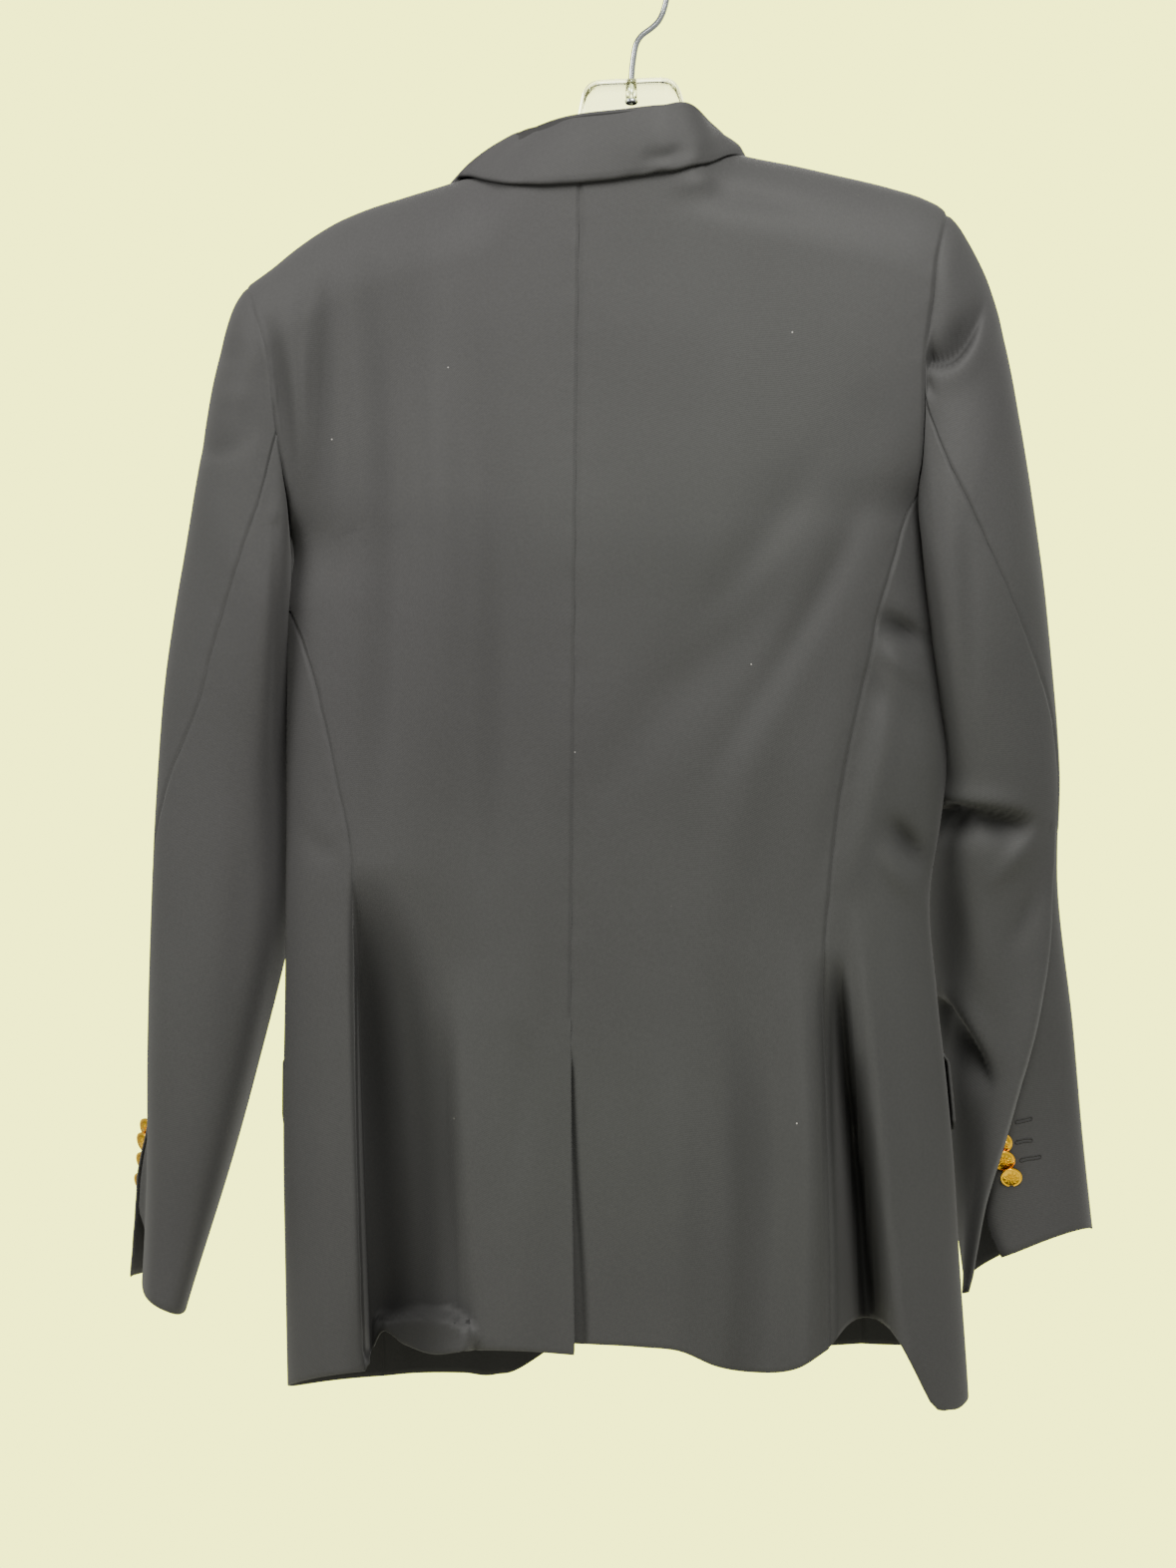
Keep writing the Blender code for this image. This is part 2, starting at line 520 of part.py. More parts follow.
def make_side(side, back_seam, front_seam, armhole, back_top, front_top, lowest, columns):
    """A side body, from its back seam round the edge of the garment to its front seam."""
    name, front = "side_" + side, "front_" + side
    u = np.linspace(0, 1, columns + 1)[None, :]
    low_z = armhole["underarm"][1]
    on_back = u < lowest
    climb = np.where(on_back, (lowest - u) / max(lowest, 1e-6), (u - lowest) / (1 - lowest)) ** UNDERARM_CURVE
    top = low_z + (np.where(on_back, back_top, front_top) - low_z) * climb
    arm = np.where(on_back, armhole_angle(armhole, "back", "back", top),
                   armhole_angle(armhole, "front", front, top))
    if side == "left":
        arm = np.where(arm > math.pi / 2, arm - 2 * math.pi, arm)
    f = np.linspace(0, 1, LOWER_ROWS + 1)[:, None]
    bottom = read(HEM[name], "z", u, key="u")
    z = bottom + (top - bottom) * f
    first, last = draw_in(angle_at(read(back_seam, "x", z), z, "back"),
                          angle_at(read(front_seam, "x", z), z, front), z)
    angle = first + (last - first) * u
    arm[:, [0, -1]] = angle[-1:, [0, -1]]
    angle = angle + (arm - angle[-1:]) * f**UNDERARM_FADE
    return cloth_panel(name, angle, z)


def armhole_ring(back, side, front, armhole):
    """The armhole's edge round the body: its angles, points, and the ways into the panels."""
    split = LOWER_ROWS
    near, near_in = back
    far, far_in = front
    points = np.concatenate([near[split:][::-1], side[-1, 1:-1], far[split:]])
    into = np.concatenate([(near_in - near)[split:][::-1], np.zeros_like(side[-1, 1:-1]),
                           (far_in - far)[split:]])
    into /= np.maximum(np.linalg.norm(into, axis=-1, keepdims=True), 1e-9)
    drop = (armhole["shoulder"][1] - points[:, 2]) / (armhole["shoulder"][1] - armhole["underarm"][1])
    turn = np.arccos(np.clip(1 - 2 * drop, -1, 1))
    lowest = np.argmax(turn)
    turn[lowest + 1:] = 2 * math.pi - turn[lowest + 1:]
    turn[0], turn[-1] = 0.0, 2 * math.pi
    return turn, points, into


def sleeve_oval(table, t, turn):
    """Points of a sleeve's rings: flattened ovals between the outer and the inner edge."""
    outer = np.stack([read(table, "outer_x", t, "t"), read(table, "outer_z", t, "t")], -1)
    inner = np.stack([read(table, "inner_x", t, "t"), read(table, "inner_z", t, "t")], -1)
    along, deep = oval_deep(turn), oval_across(turn)
    lean = np.radians(read(table, "lean", t, "t"))
    half_x = np.linalg.norm(outer - inner, axis=-1) / 2
    half_y = read(table, "half_y", t, "t")
    away = half_x * along * np.cos(lean) + half_y * deep * np.sin(lean)
    nearer = half_y * deep * np.cos(lean) - half_x * along * np.sin(lean)
    flat = (outer + inner) / 2 + (outer - inner) / 2 * (away / half_x)[..., None]
    y = read(table, "mid_y", t, "t") - nearer
    return np.stack([flat[..., 0], y, flat[..., 1] - read(table, "tilt", t, "t") * deep], -1)


def sleeve_surface(table, ring, folds):
    """The sleeve as a function of place along it and angle round it, from the armhole down."""
    turn_at = np.concatenate([ring[0][:-1] - 2 * math.pi, ring[0]])
    points = np.concatenate([ring[1][:-1], ring[1]])

    def surface(t, turn):
        base = sleeve_oval(table, t, turn)
        held = (1 - smooth_step(t / SLEEVE_BLEND))[..., None]
        seam = np.stack([np.interp(turn, turn_at, points[:, k]) for k in range(3)], -1)
        place = base + held * (seam - sleeve_oval(table, np.zeros_like(t), turn))
        near_edge, far_edge = np.zeros_like(t), np.full_like(t, math.pi)
        out = place - (sleeve_oval(table, t, near_edge) + sleeve_oval(table, t, far_edge)) / 2
        out /= np.linalg.norm(out, axis=-1, keepdims=True)
        for fold_t, fold_turn, wide_t, wide_turn, depth in folds:
            off = (turn - math.radians(fold_turn)) / math.radians(wide_turn)
            push = depth * np.exp(-(off**2) - ((t - fold_t) / wide_t) ** 2)
            place = place + out * (push * (1 - held[..., 0]))[..., None]
        return place, out
    return surface


def sleeve_piece(name, surface, ring, table, first, last):
    """One of a sleeve's two pieces, between two of the ring's points and their seams."""
    turn_at, _, into = ring
    if first > last:
        picked = np.concatenate([turn_at[first:-1] - 2 * math.pi, turn_at[:last + 1]])
        into_at = np.concatenate([into[first:-1], into[:last + 1]])
    else:
        picked, into_at = turn_at[first:last + 1], into[first:last + 1]
    u = (picked - picked[0]) / (picked[-1] - picked[0])
    rows = np.concatenate([[SLEEVE_START], np.linspace(0, 1, SLEEVE_ROWS + 1)[1:]])
    t = rows[:, None] * np.ones_like(u)
    fore_first = first > last
    start_column, end_column = ("fore", "hind") if fore_first else ("hind", "fore")
    lap = -360.0 if fore_first else 0.0
    held = 1 - smooth_step(t / SLEEVE_BLEND)
    start = np.radians(read(table, start_column, t, "t") + lap)
    end = np.radians(read(table, end_column, t, "t"))
    start = start + held * (picked[0] - np.radians(table[start_column][0] + lap))
    end = end + held * (picked[-1] - np.radians(table[end_column][0]))
    turn = start + (end - start) * u
    outer, out = surface(t, turn)
    round_way = surface(t, turn + TINY_TURN)[0] - surface(t, turn - TINY_TURN)[0]
    down = surface(np.clip(t + 2e-3, 0, 1), turn)[0] - surface(np.clip(t - 2e-3, 0, 1), turn)[0]
    normal = np.cross(round_way, down)
    normal *= np.sign(np.median((normal * out).sum(-1)))
    normal /= np.linalg.norm(normal, axis=-1, keepdims=True)
    for edge, neighbour in ((0, 1), (-1, -2)):
        seam_way = np.gradient(outer[:, edge], axis=0)
        square = np.cross(normal[:, edge], seam_way)
        square /= np.linalg.norm(square, axis=-1, keepdims=True)
        square *= np.sign(np.median((square * (outer[:, neighbour] - outer[:, edge])).sum(-1)))
        outer[:, edge] += square * SLEEVE_GAP / 2
    lean = np.clip(-(normal[0] * into_at).sum(-1, keepdims=True), 0, None)
    normal[0] += lean * into_at
    inner = outer - normal * WALL
    wall(name, true_place(outer), true_place(inner), wool(name))


def make_sleeve(side, table, ring):
    surface = sleeve_surface(table, ring, ARM_FOLDS[side])
    hind = int(np.argmin(np.abs(ring[0] - math.radians(table["hind"][0]))))
    fore = int(np.argmin(np.abs(ring[0] - math.radians(table["fore"][0]))))
    sleeve_piece("top_sleeve_" + side, surface, ring, table, fore, hind)
    sleeve_piece("under_sleeve_" + side, surface, ring, table, hind, fore)
    return surface


def on_body(x, z, layer, lift, step=None):
    """Points that lie off the body's surface by a lift, and the surface's normals there."""
    z = np.asarray(z, float)
    point, normal = faced(angle_at(x, z, layer), z, 1, step)
    return point + normal * np.asarray(lift, float)[..., None], normal


def make_lapel(side, edge, outline, step=None, rows=13, columns=5):
    """A lapel on its front's own surface, from the roll line out to its edge and its point."""
    name = "front_" + side
    u = np.linspace(0, 1, columns + 1)[None, :]
    v = np.linspace(0, 1, rows + 1)[:, None]
    z = LAPEL_FOOT + (GORGE_Z + (POINT_Z - GORGE_Z) * u - LAPEL_FOOT) * v
    x = read(edge, "x", z) + (read(outline, "x", z) - read(edge, "x", z)) * u
    lift = LAPEL_ROLL_LIFT[side] + (LAPEL_LIFT - LAPEL_ROLL_LIFT[side]) * smooth_step(u)
    cloth_panel("lapel_" + side, angle_at(x, z, name), z, step=step, lift=lift[..., None])


def make_flap(side, ends, columns=7, rows=3):
    """A pocket flap on the front and the edge of the side body, with rounded lower corners."""
    u = np.linspace(0, 1, columns + 1)[None, :]
    v = np.linspace(0, 1, rows + 1)[:, None]
    corner = 1 - FLAP_CORNER * (2 * np.abs(u - 0.5)) ** 8
    z = FLAP_TOP - FLAP_HEIGHT * corner * (1 - v)
    first, last = (angle_at(end, FLAP_TOP, "front_" + side) for end in ends)
    angle = first + (last - first) * u + 0 * z
    cloth_panel("flap_" + side, angle, z, lift=FLAP_LIFT)


def unit(ways):
    return ways / np.linalg.norm(ways, axis=-1, keepdims=True)


def make_collar():
    """The collar carried along its fold: the stand up to the fold, round it, and the fall down."""
    s = np.linspace(0, 1, COLLAR_COLUMNS + 1)
    fold = np.stack([read(COLLAR, "fold_" + axis, s, "s") for axis in "xyz"], -1)
    layers = np.where(s < NECK_SIDES[0], 0, np.where(s > NECK_SIDES[1], 2, 1))
    fall, stand = np.zeros_like(fold), np.zeros_like(fold)
    for edge, column, lift in ((fall, "fall", COLLAR_LIFT), (stand, "stand", 0.0)):
        x, z = read(COLLAR, column + "_x", s, "s"), read(COLLAR, column + "_z", s, "s")
        for index, layer in enumerate(("front_left", "back", "front_right")):
            here = layers == index
            down = COLLAR_UNDER if column == "stand" and layer != "back" else 0.0
            seat = np.minimum(z[here], shoulder_line(x[here]) - 0.05)
            edge[here] = on_body(x[here], seat, layer, np.full(here.sum(), lift - down))[0]
    up = unit(fold - (fall + stand) / 2)
    across = fall - stand
    away = unit(across - (across * up).sum(-1, keepdims=True) * up)
    stand_top = fold - COLLAR_ROUND * (up + away)
    fall_top = fold - COLLAR_ROUND * (up - away)
    swell = COLLAR_SWELL * np.sin(np.pi * np.array([1, 2]) / 3)
    rows = [stand, (stand + stand_top) / 2, stand_top, fold, fall_top]
    rows += [fall_top + (fall - fall_top) * part / 3 + away * swell[part - 1] for part in (1, 2)]
    rows.append(fall)
    outer = np.stack(rows)
    down_way = np.gradient(outer, axis=0)
    along = np.gradient(outer, axis=1)
    normal = unit(np.cross(along, down_way))
    normal *= np.sign((normal[-2] * away).sum(-1).mean())
    wall("collar", true_place(outer), true_place(outer - normal * WALL), wool("collar"))


def turned(name, profile, centre, axis, material, sides=16):
    """A solid turned about an axis, from (radius, height) rows that start and end on it."""
    axis = np.asarray(axis, float) / np.linalg.norm(axis)
    side = unit(np.cross(axis, [0.3, 0.2, 0.93]))
    other = np.cross(axis, side)
    turn = np.arange(sides) * 2 * math.pi / sides
    round_way = np.cos(turn)[:, None] * side + np.sin(turn)[:, None] * other
    rings = [centre + radius * round_way + height * axis for radius, height in profile[1:-1]]
    ends = [[centre + profile[k][1] * axis] for k in (0, -1)]
    points = np.concatenate([ends[0], *rings, ends[1]])
    faces = []
    for k in range(sides):
        n = (k + 1) % sides
        faces.append((0, 1 + n, 1 + k))
        for ring in range(len(rings) - 1):
            a, b = 1 + ring * sides + k, 1 + ring * sides + n
            faces += [(a, b, b + sides), (a, b + sides, a + sides)]
        last = 1 + (len(rings) - 1) * sides
        faces.append((last + k, last + n, len(points) - 1))
    return solid(name, points * MM, faces, material)


def button(name, seat, normal, size):
    """A domed metal button with a raised rim; its back stands off the cloth on its shank."""
    r, h = size / 2, BUTTON_THICK
    profile = ((0, -SHANK[1]), (SHANK[0], -SHANK[1]), (SHANK[0], 0), (r * 0.8, 0), (r, h * 0.35),
               (r * 0.94, h * 0.62), (r * 0.8, h * 0.6), (0, h))
    place = true_place(seat + normal * BUTTON_LIFT)
    turned(name, profile, place, normal, gold(name))


def cuff_buttons(side, surface, table):
    """Four buttons down the cuff, on the top sleeve beside the hind seam."""
    for number, (t, beside) in enumerate(CUFF_ROWS[side], 1):
        t = np.array(t)
        turn = np.radians(read(table, "hind", t, "t") - beside)
        place, out = surface(t, turn)
        round_way = surface(t, turn + TINY_TURN)[0] - surface(t, turn - TINY_TURN)[0]
        down = surface(t + 2e-3, turn)[0] - surface(t - 2e-3, turn)[0]
        normal = unit(np.cross(round_way, down))
        normal *= np.sign((normal * out).sum())
        button(f"cuff_button_{side}_{number}", place, normal, CUFF_BUTTON)


def make_hanger():
    """The moulded hanger, a flat form between a top and a bottom line, with a slot for the wire."""
    x = np.array(HANGER["x"], float)
    top, bottom = np.array(HANGER["top"], float), np.array(HANGER["bottom"], float)
    x = np.concatenate([-x[::-1], x])
    top, bottom = np.concatenate([top[::-1], top]), np.concatenate([bottom[::-1], bottom])
    z = bottom + (top - bottom) * np.linspace(0, 1, 3)[:, None]
    x = np.broadcast_to(x, z.shape)
    turned_x = x * math.cos(HANGER_TILT) - (z - NECK_BASE) * math.sin(HANGER_TILT)
    turned_z = NECK_BASE + x * math.sin(HANGER_TILT) + (z - NECK_BASE) * math.cos(HANGER_TILT)
    faces = [np.stack([turned_x, np.full_like(z, y), turned_z], -1)
             for y in (-HANGER_THICK / 2, HANGER_THICK / 2)]
    clear = finish_of("hanger_clear", (0.93, 0.95, 0.95), 0.06, transmission=0.9)
    wall("hanger", faces[0], faces[1], clear)


def make_hook():
    """The wire: up from its slot, bent to one side, and round the loop to its open end."""
    turn = np.radians(np.linspace(*HOOK_TURN, HOOK_STEPS))
    centre = WIRE / 2 - HOOK_RADIUS
    loop = np.stack([HOOK_RADIUS * np.cos(turn), centre + HOOK_RADIUS * np.sin(turn)], -1)
    path = np.concatenate([np.array(HOOK_STEM, float), loop])
    curve = bpy.data.curves.new("hanger_hook", "CURVE")
    curve.dimensions = "3D"
    curve.bevel_depth = WIRE / 2 * MM
    curve.bevel_resolution = 2
    curve.use_fill_caps = True
    spline = curve.splines.new("POLY")
    spline.points.add(len(path) - 1)
    for point, (x, z) in zip(spline.points, path):
        point.co = (x * MM, 0.0, z * MM, 1.0)
    curve.materials.append(finish_of("hook_chrome", (0.8, 0.8, 0.82), 0.12, metallic=1.0))
    hook = bpy.data.objects.new("hanger_hook", curve)
    bpy.context.scene.collection.objects.link(hook)


clear_scene()
back_left = make_back_left()
back_right = make_back_right()
front_left = make_front("left", SIDE_FRONT_LEFT, ARMHOLE_LEFT, FRONT_SPLIT_LEFT, FRONT_EDGE_LEFT)
front_right = make_front("right", SIDE_FRONT_RIGHT, ARMHOLE_RIGHT, FRONT_SPLIT_RIGHT,
                         FRONT_EDGE_RIGHT, step=front_step)
side_left = make_side("left", SIDE_BACK_LEFT, SIDE_FRONT_LEFT, ARMHOLE_LEFT,
                      BACK_SPLIT_LEFT, FRONT_SPLIT_LEFT, 0.0, 6)
side_right = make_side("right", SIDE_BACK_RIGHT, SIDE_FRONT_RIGHT, ARMHOLE_RIGHT,
                       BACK_SPLIT_RIGHT, FRONT_SPLIT_RIGHT, 0.4, 8)
ring_left = armhole_ring((back_left[:, 0], back_left[:, 1]), side_left,
                         (front_left[:, 0], front_left[:, 1]), ARMHOLE_LEFT)
ring_right = armhole_ring((back_right[:, -1], back_right[:, -2]), side_right,
                          (front_right[:, 0], front_right[:, 1]), ARMHOLE_RIGHT)
arm_left = make_sleeve("left", SLEEVE_LEFT, ring_left)
arm_right = make_sleeve("right", SLEEVE_RIGHT, ring_right)
make_lapel("left", FRONT_EDGE_LEFT, LAPEL_LEFT)
make_lapel("right", FRONT_EDGE_RIGHT, LAPEL_RIGHT, step=front_step)
make_collar()
make_flap("left", FLAP_LEFT)
make_flap("right", FLAP_RIGHT)
for number, (x, z) in enumerate(FRONT_BUTTONS, 1):
    seat, way = on_body(x, z, "front_left", 0.0)
    button(f"front_button_{number}", seat, way, FRONT_BUTTON)
cuff_buttons("left", arm_left, SLEEVE_LEFT)
cuff_buttons("right", arm_right, SLEEVE_RIGHT)
make_hanger()
make_hook()
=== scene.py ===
"""A charcoal single-breasted blazer on a clear hanger, seen from its back.

The CAD frame gives each piece's place. Every cloth piece is remade here as a thin shell with its
folds, seams and lining, from the same tables as the solids. X runs to the wearer's right, Y to the
wearer's front and Z up; tables are in millimetres.
"""
import math

import bmesh
import bpy
import numpy as np
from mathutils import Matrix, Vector


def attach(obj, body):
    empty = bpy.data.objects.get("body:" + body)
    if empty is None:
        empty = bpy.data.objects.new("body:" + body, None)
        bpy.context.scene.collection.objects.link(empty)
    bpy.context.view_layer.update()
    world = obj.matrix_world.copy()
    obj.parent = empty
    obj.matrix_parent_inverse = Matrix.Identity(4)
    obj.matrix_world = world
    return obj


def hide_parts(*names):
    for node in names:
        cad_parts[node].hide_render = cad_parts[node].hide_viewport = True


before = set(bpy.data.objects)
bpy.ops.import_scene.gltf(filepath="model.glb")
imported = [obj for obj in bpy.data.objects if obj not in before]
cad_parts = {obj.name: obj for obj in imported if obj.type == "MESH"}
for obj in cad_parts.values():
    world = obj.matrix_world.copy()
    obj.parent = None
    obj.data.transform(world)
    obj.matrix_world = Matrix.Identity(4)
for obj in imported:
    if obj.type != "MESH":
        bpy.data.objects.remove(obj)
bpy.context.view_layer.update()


# ---- Floor, light and camera -----------------------------------------------------------------
# A plain pale floor well below the hem, a cream surround and large soft lamps: one high at the
# eye's side, a weak one at the left and one behind for the outline.
MM = 0.001
EYE = (-28.0, -1500.0, -545.7)           # in millimetres, as every table
SIGHT_HEIGHT = 1013.94                   # how much of the garment's plane the eye takes in
LAMP_AIM = (-0.03, 0.0, -0.5)
LAMP_COLOUR = (1.0, 0.985, 0.94)
scene = bpy.context.scene
world = bpy.data.worlds.new("cream_surround")
scene.world = world
world.use_nodes = True
sky = world.node_tree


def node(tree, kind, values=None, links=(), **settings):
    """A node with its settings and input values, linked from (source, socket, input) rows."""
    made = tree.nodes.new(kind)
    for name, value in settings.items():
        setattr(made, name, value)
    for name, value in (values or {}).items():
        made.inputs[name].default_value = value
    for source, socket, name in links:
        tree.links.new(source.outputs[socket], made.inputs[name])
    return made


def plain_look(name, **values):
    """A material whose shader takes the values given; an underscore stands for a space."""
    look = bpy.data.materials.new(name)
    look.use_nodes = True
    shader = look.node_tree.nodes["Principled BSDF"]
    for socket_name, value in values.items():
        shader.inputs[socket_name.replace("_", " ")].default_value = value
    return look


# Three surrounds: what lights the cloth, what shows through clear plastic and what the eye sees.
surround = sky.nodes["Background"]
surround.inputs["Color"].default_value = (0.93, 0.93, 0.86, 1.0)
surround.inputs["Strength"].default_value = 0.62
through = node(sky, "ShaderNodeBackground", {"Color": (1.0, 1.0, 0.42, 1.0), "Strength": 4.2})
seen = node(sky, "ShaderNodeBackground", {"Color": (0.94, 1.0, 0.20, 1.0), "Strength": 4.5})
rays = node(sky, "ShaderNodeLightPath")
not_seen = node(sky, "ShaderNodeMixShader", None,
                [(rays, "Is Transmission Ray", 0), (surround, 0, 1), (through, 0, 2)])
either = node(sky, "ShaderNodeMixShader", None,
              [(rays, "Is Camera Ray", 0), (not_seen, 0, 1), (seen, 0, 2)])
sky.links.new(either.outputs[0], sky.nodes["World Output"].inputs[0])

bpy.ops.mesh.primitive_circle_add(vertices=96, radius=1.6, fill_type="NGON",
                                  location=(-0.03, 0.0, -1.62))
floor = bpy.context.object
floor.name = "floor"
floor.data.materials.append(
    plain_look("pale_floor", Base_Color=(0.80, 0.80, 0.66, 1.0), Roughness=0.9))

for lamp_name, place, size, watts in (
        ("lamp_key", (0.45, -1.5, 1.05), 1.3, 72.0),
        ("lamp_left", (-1.7, -0.9, 0.6), 1.2, 34.0),
        ("lamp_rear", (0.2, 1.8, 0.9), 1.4, 14.0)):
    light = bpy.data.lights.new(lamp_name, "AREA")
    light.shape = "DISK"
    light.size = size
    light.energy = watts
    light.color = LAMP_COLOUR
    lamp = bpy.data.objects.new(lamp_name, light)
    lamp.location = place
    lamp.rotation_euler = (Vector(LAMP_AIM) - Vector(place)).to_track_quat("-Z", "Y").to_euler()
    scene.collection.objects.link(lamp)

eye = bpy.data.cameras.new("eye")
eye.sensor_fit = "VERTICAL"
eye.angle = 2 * math.atan(0.5 * SIGHT_HEIGHT / -EYE[1])
eye_object = bpy.data.objects.new("eye", eye)
eye_object.location = Vector(EYE) * MM
eye_object.rotation_euler = (math.pi / 2, 0.0, 0.0)
scene.collection.objects.link(eye_object)
scene.camera = eye_object


# ---- Wool and lining -------------------------------------------------------------------------
# The shell is a smooth charcoal worsted with a soft sheen, the lining a shiny dark satin. One
# group makes the cloth's colour and its fine relief: slight mottling, twill lines and pale lint,
# with painted shade in the folds and a few painted highlights.
cloth_group = bpy.data.node_groups.new("worsted", "ShaderNodeTree")
for socket_name, way, kind in (("Color", "INPUT", "NodeSocketColor"),
                               ("Lint", "INPUT", "NodeSocketFloat"),
                               ("Color", "OUTPUT", "NodeSocketColor"),
                               ("Normal", "OUTPUT", "NodeSocketVector")):
    cloth_group.interface.new_socket(socket_name, in_out=way, socket_type=kind)
given = cloth_group.nodes.new("NodeGroupInput")
made_of = cloth_group.nodes.new("NodeGroupOutput")
spot = node(cloth_group, "ShaderNodeTexCoord")
mottle = node(cloth_group, "ShaderNodeTexNoise", {"Scale": 9.0, "Detail": 3.0},
              [(spot, "Object", "Vector")])
tone = node(cloth_group, "ShaderNodeMapRange", {"To Min": 0.88, "To Max": 1.12},
            [(mottle, "Fac", "Value")])
fibre = node(cloth_group, "ShaderNodeTexNoise", {"Scale": 520.0, "Detail": 4.0},
             [(spot, "Object", "Vector")])
fibre_tone = node(cloth_group, "ShaderNodeMapRange", {"To Min": 0.86, "To Max": 1.14},
                  [(fibre, "Fac", "Value")])
tones = node(cloth_group, "ShaderNodeMath", None, [(tone, "Result", 0), (fibre_tone, "Result", 1)],
             operation="MULTIPLY")
toned = node(cloth_group, "ShaderNodeVectorMath", None,
             [(given, "Color", 0), (tones, "Value", "Scale")], operation="SCALE")
# slow shifts between an olive and a purple cast
cast_noise = node(cloth_group, "ShaderNodeTexNoise", {"Scale": 3.2, "Detail": 1.0},
                  [(spot, "Object", "Vector")])
cast = node(cloth_group, "ShaderNodeMix", {6: (0.97, 1.02, 0.92, 1.0), 7: (1.04, 0.97, 1.02, 1.0)},
            [(cast_noise, "Fac", 0)], data_type="RGBA")
tinted = node(cloth_group, "ShaderNodeVectorMath", None, [(toned, 0, 0), (cast, 2, 1)],
              operation="MULTIPLY")
# lint: the middles of a few of the cells of a fine Voronoi pattern
cells = node(cloth_group, "ShaderNodeTexVoronoi", {"Scale": 38.0}, [(spot, "Object", "Vector")])
lint_dot = node(cloth_group, "ShaderNodeMath", {1: 0.020}, [(cells, "Distance", 0)],
                operation="LESS_THAN")
lint_pick = node(cloth_group, "ShaderNodeSeparateColor", None, [(cells, "Color", 0)])
lint_few = node(cloth_group, "ShaderNodeMath", {1: 0.55}, [(lint_pick, 0, 0)],
                operation="GREATER_THAN")
lint_all = node(cloth_group, "ShaderNodeMath", None, [(lint_dot, 0, 0), (lint_few, 0, 1)],
                operation="MULTIPLY")
lint = node(cloth_group, "ShaderNodeMath", None, [(lint_all, 0, 0), (given, "Lint", 1)],
            operation="MULTIPLY")
linted = node(cloth_group, "ShaderNodeMix", {7: (0.34, 0.33, 0.31, 1.0)},
              [(lint, 0, 0), (tinted, 0, 6)], data_type="RGBA")
# painted shade: the colour darkens in the folds' depths, and lightens where painted highlights are
# set
fold = node(cloth_group, "ShaderNodeAttribute", attribute_name="painted_shading")
painted_fold_shade = node(cloth_group, "ShaderNodeMapRange", {"To Min": 1.0, "To Max": 0.22},
               [(fold, "Fac", "Value")], clamp=False)
shaded = node(cloth_group, "ShaderNodeVectorMath", None,
              [(linted, 2, 0), (painted_fold_shade, "Result", "Scale")], operation="SCALE")
cloth_group.links.new(shaded.outputs[0], made_of.inputs["Color"])
# twill: fine steep lines that follow the piece's own UV map, with the fibres over them
thread_way = node(cloth_group, "ShaderNodeUVMap", uv_map="cloth")
twill_turn = node(cloth_group, "ShaderNodeMapping", {"Rotation": (0.0, 0.0, math.radians(63.0))},
                  [(thread_way, "UV", "Vector")])
twill = node(cloth_group, "ShaderNodeTexWave", {"Scale": 260.0}, [(twill_turn, 0, "Vector")])
relief = node(cloth_group, "ShaderNodeMath", {1: 0.35}, [(twill, "Fac", 0), (fibre, "Fac", 2)],
              operation="MULTIPLY_ADD")
bump = node(cloth_group, "ShaderNodeBump", {"Strength": 0.22, "Distance": 0.0003},
            [(relief, 0, "Height")])
cloth_group.links.new(bump.outputs[0], made_of.inputs["Normal"])


def cloth_look(name, colour, lint_share, **shader_values):
    """A material of the worsted group in one colour; the rest is set on the shader's sockets."""
    look = plain_look(name, **shader_values)
    shader = look.node_tree.nodes["Principled BSDF"]
    cloth = look.node_tree.nodes.new("ShaderNodeGroup")
    cloth.node_tree = cloth_group
    cloth.inputs["Color"].default_value = (*colour, 1.0)
    cloth.inputs["Lint"].default_value = lint_share
    look.node_tree.links.new(cloth.outputs["Color"], shader.inputs["Base Color"])
    look.node_tree.links.new(cloth.outputs["Normal"], shader.inputs["Normal"])
    return look


wool = cloth_look("charcoal_wool", (0.0425, 0.043, 0.0445), 1.0, Roughness=0.62,
                  Specular_IOR_Level=0.22, Sheen_Weight=0.08, Sheen_Roughness=0.45)
lining = cloth_look("dark_satin", (0.030, 0.030, 0.031), 0.0, Roughness=0.34, Sheen_Weight=0.1)
thread = cloth_look("black_thread", (0.012, 0.012, 0.012), 0.0, Roughness=0.7)


# ---- Back panels -----------------------------------------------------------------------------
# Two backs sewn at the centre, with a vent below: the left back laps over an underlap cut in one
# with the right. Each is a thin shell on the body's oval sections, wool outside and satin inside.
SQUARENESS = 0.05              # how much fuller than an ellipse the body's sections are
RIDGE_ROUND = 52.0             # height below the shoulder line over which the body gets its depth
LOWER_ROWS, UPPER_ROWS = 120, 60         # rows of a panel below and above the armhole's foot
GATHER = 0.82                  # how strongly a panel's columns gather at its seams
BACK_COLUMNS, LAP_COLUMNS = 74, 12
BODY = {
    "z":     (-955, -930, -850, -790, -740, -680, -616, -570, -529, -480, -430, -384,
              -366, -340, -300, -250, -200, -150),
    "left":  (-222, -222.5, -224, -225, -225, -224, -223.5, -223, -223, -222.5, -222, -221,
              -232, -247, -264, -276, -282, -284),
    "right": (219, 217.5, 212, 208.5, 204, 197.5, 193, 200, 204.5, 199, 194, 190,
              189, 206, 226, 240, 246, 248),
    "back":  (60, 60, 58, 55, 52, 50, 49, 49, 50, 51, 52, 52,
              51, 49, 46, 43, 40, 38),
    "front": (58, 58, 56, 54, 52, 50, 50, 51, 53, 55, 56, 55,
              54, 52, 49, 46, 43, 42),
}
SHOULDER = {
    "x": (-249, -233, -217, -189, -174, -145, -113, -88, -72, -33, 10, 42, 55, 71, 108, 130,
          168, 190, 200, 204.5),
    "z": (-224.5, -213, -200, -182, -175.5, -166, -156, -146.5, -122, -92, -88, -112, -134.5,
          -139, -146.5, -151.5, -160.6, -167.7, -173, -177),
}
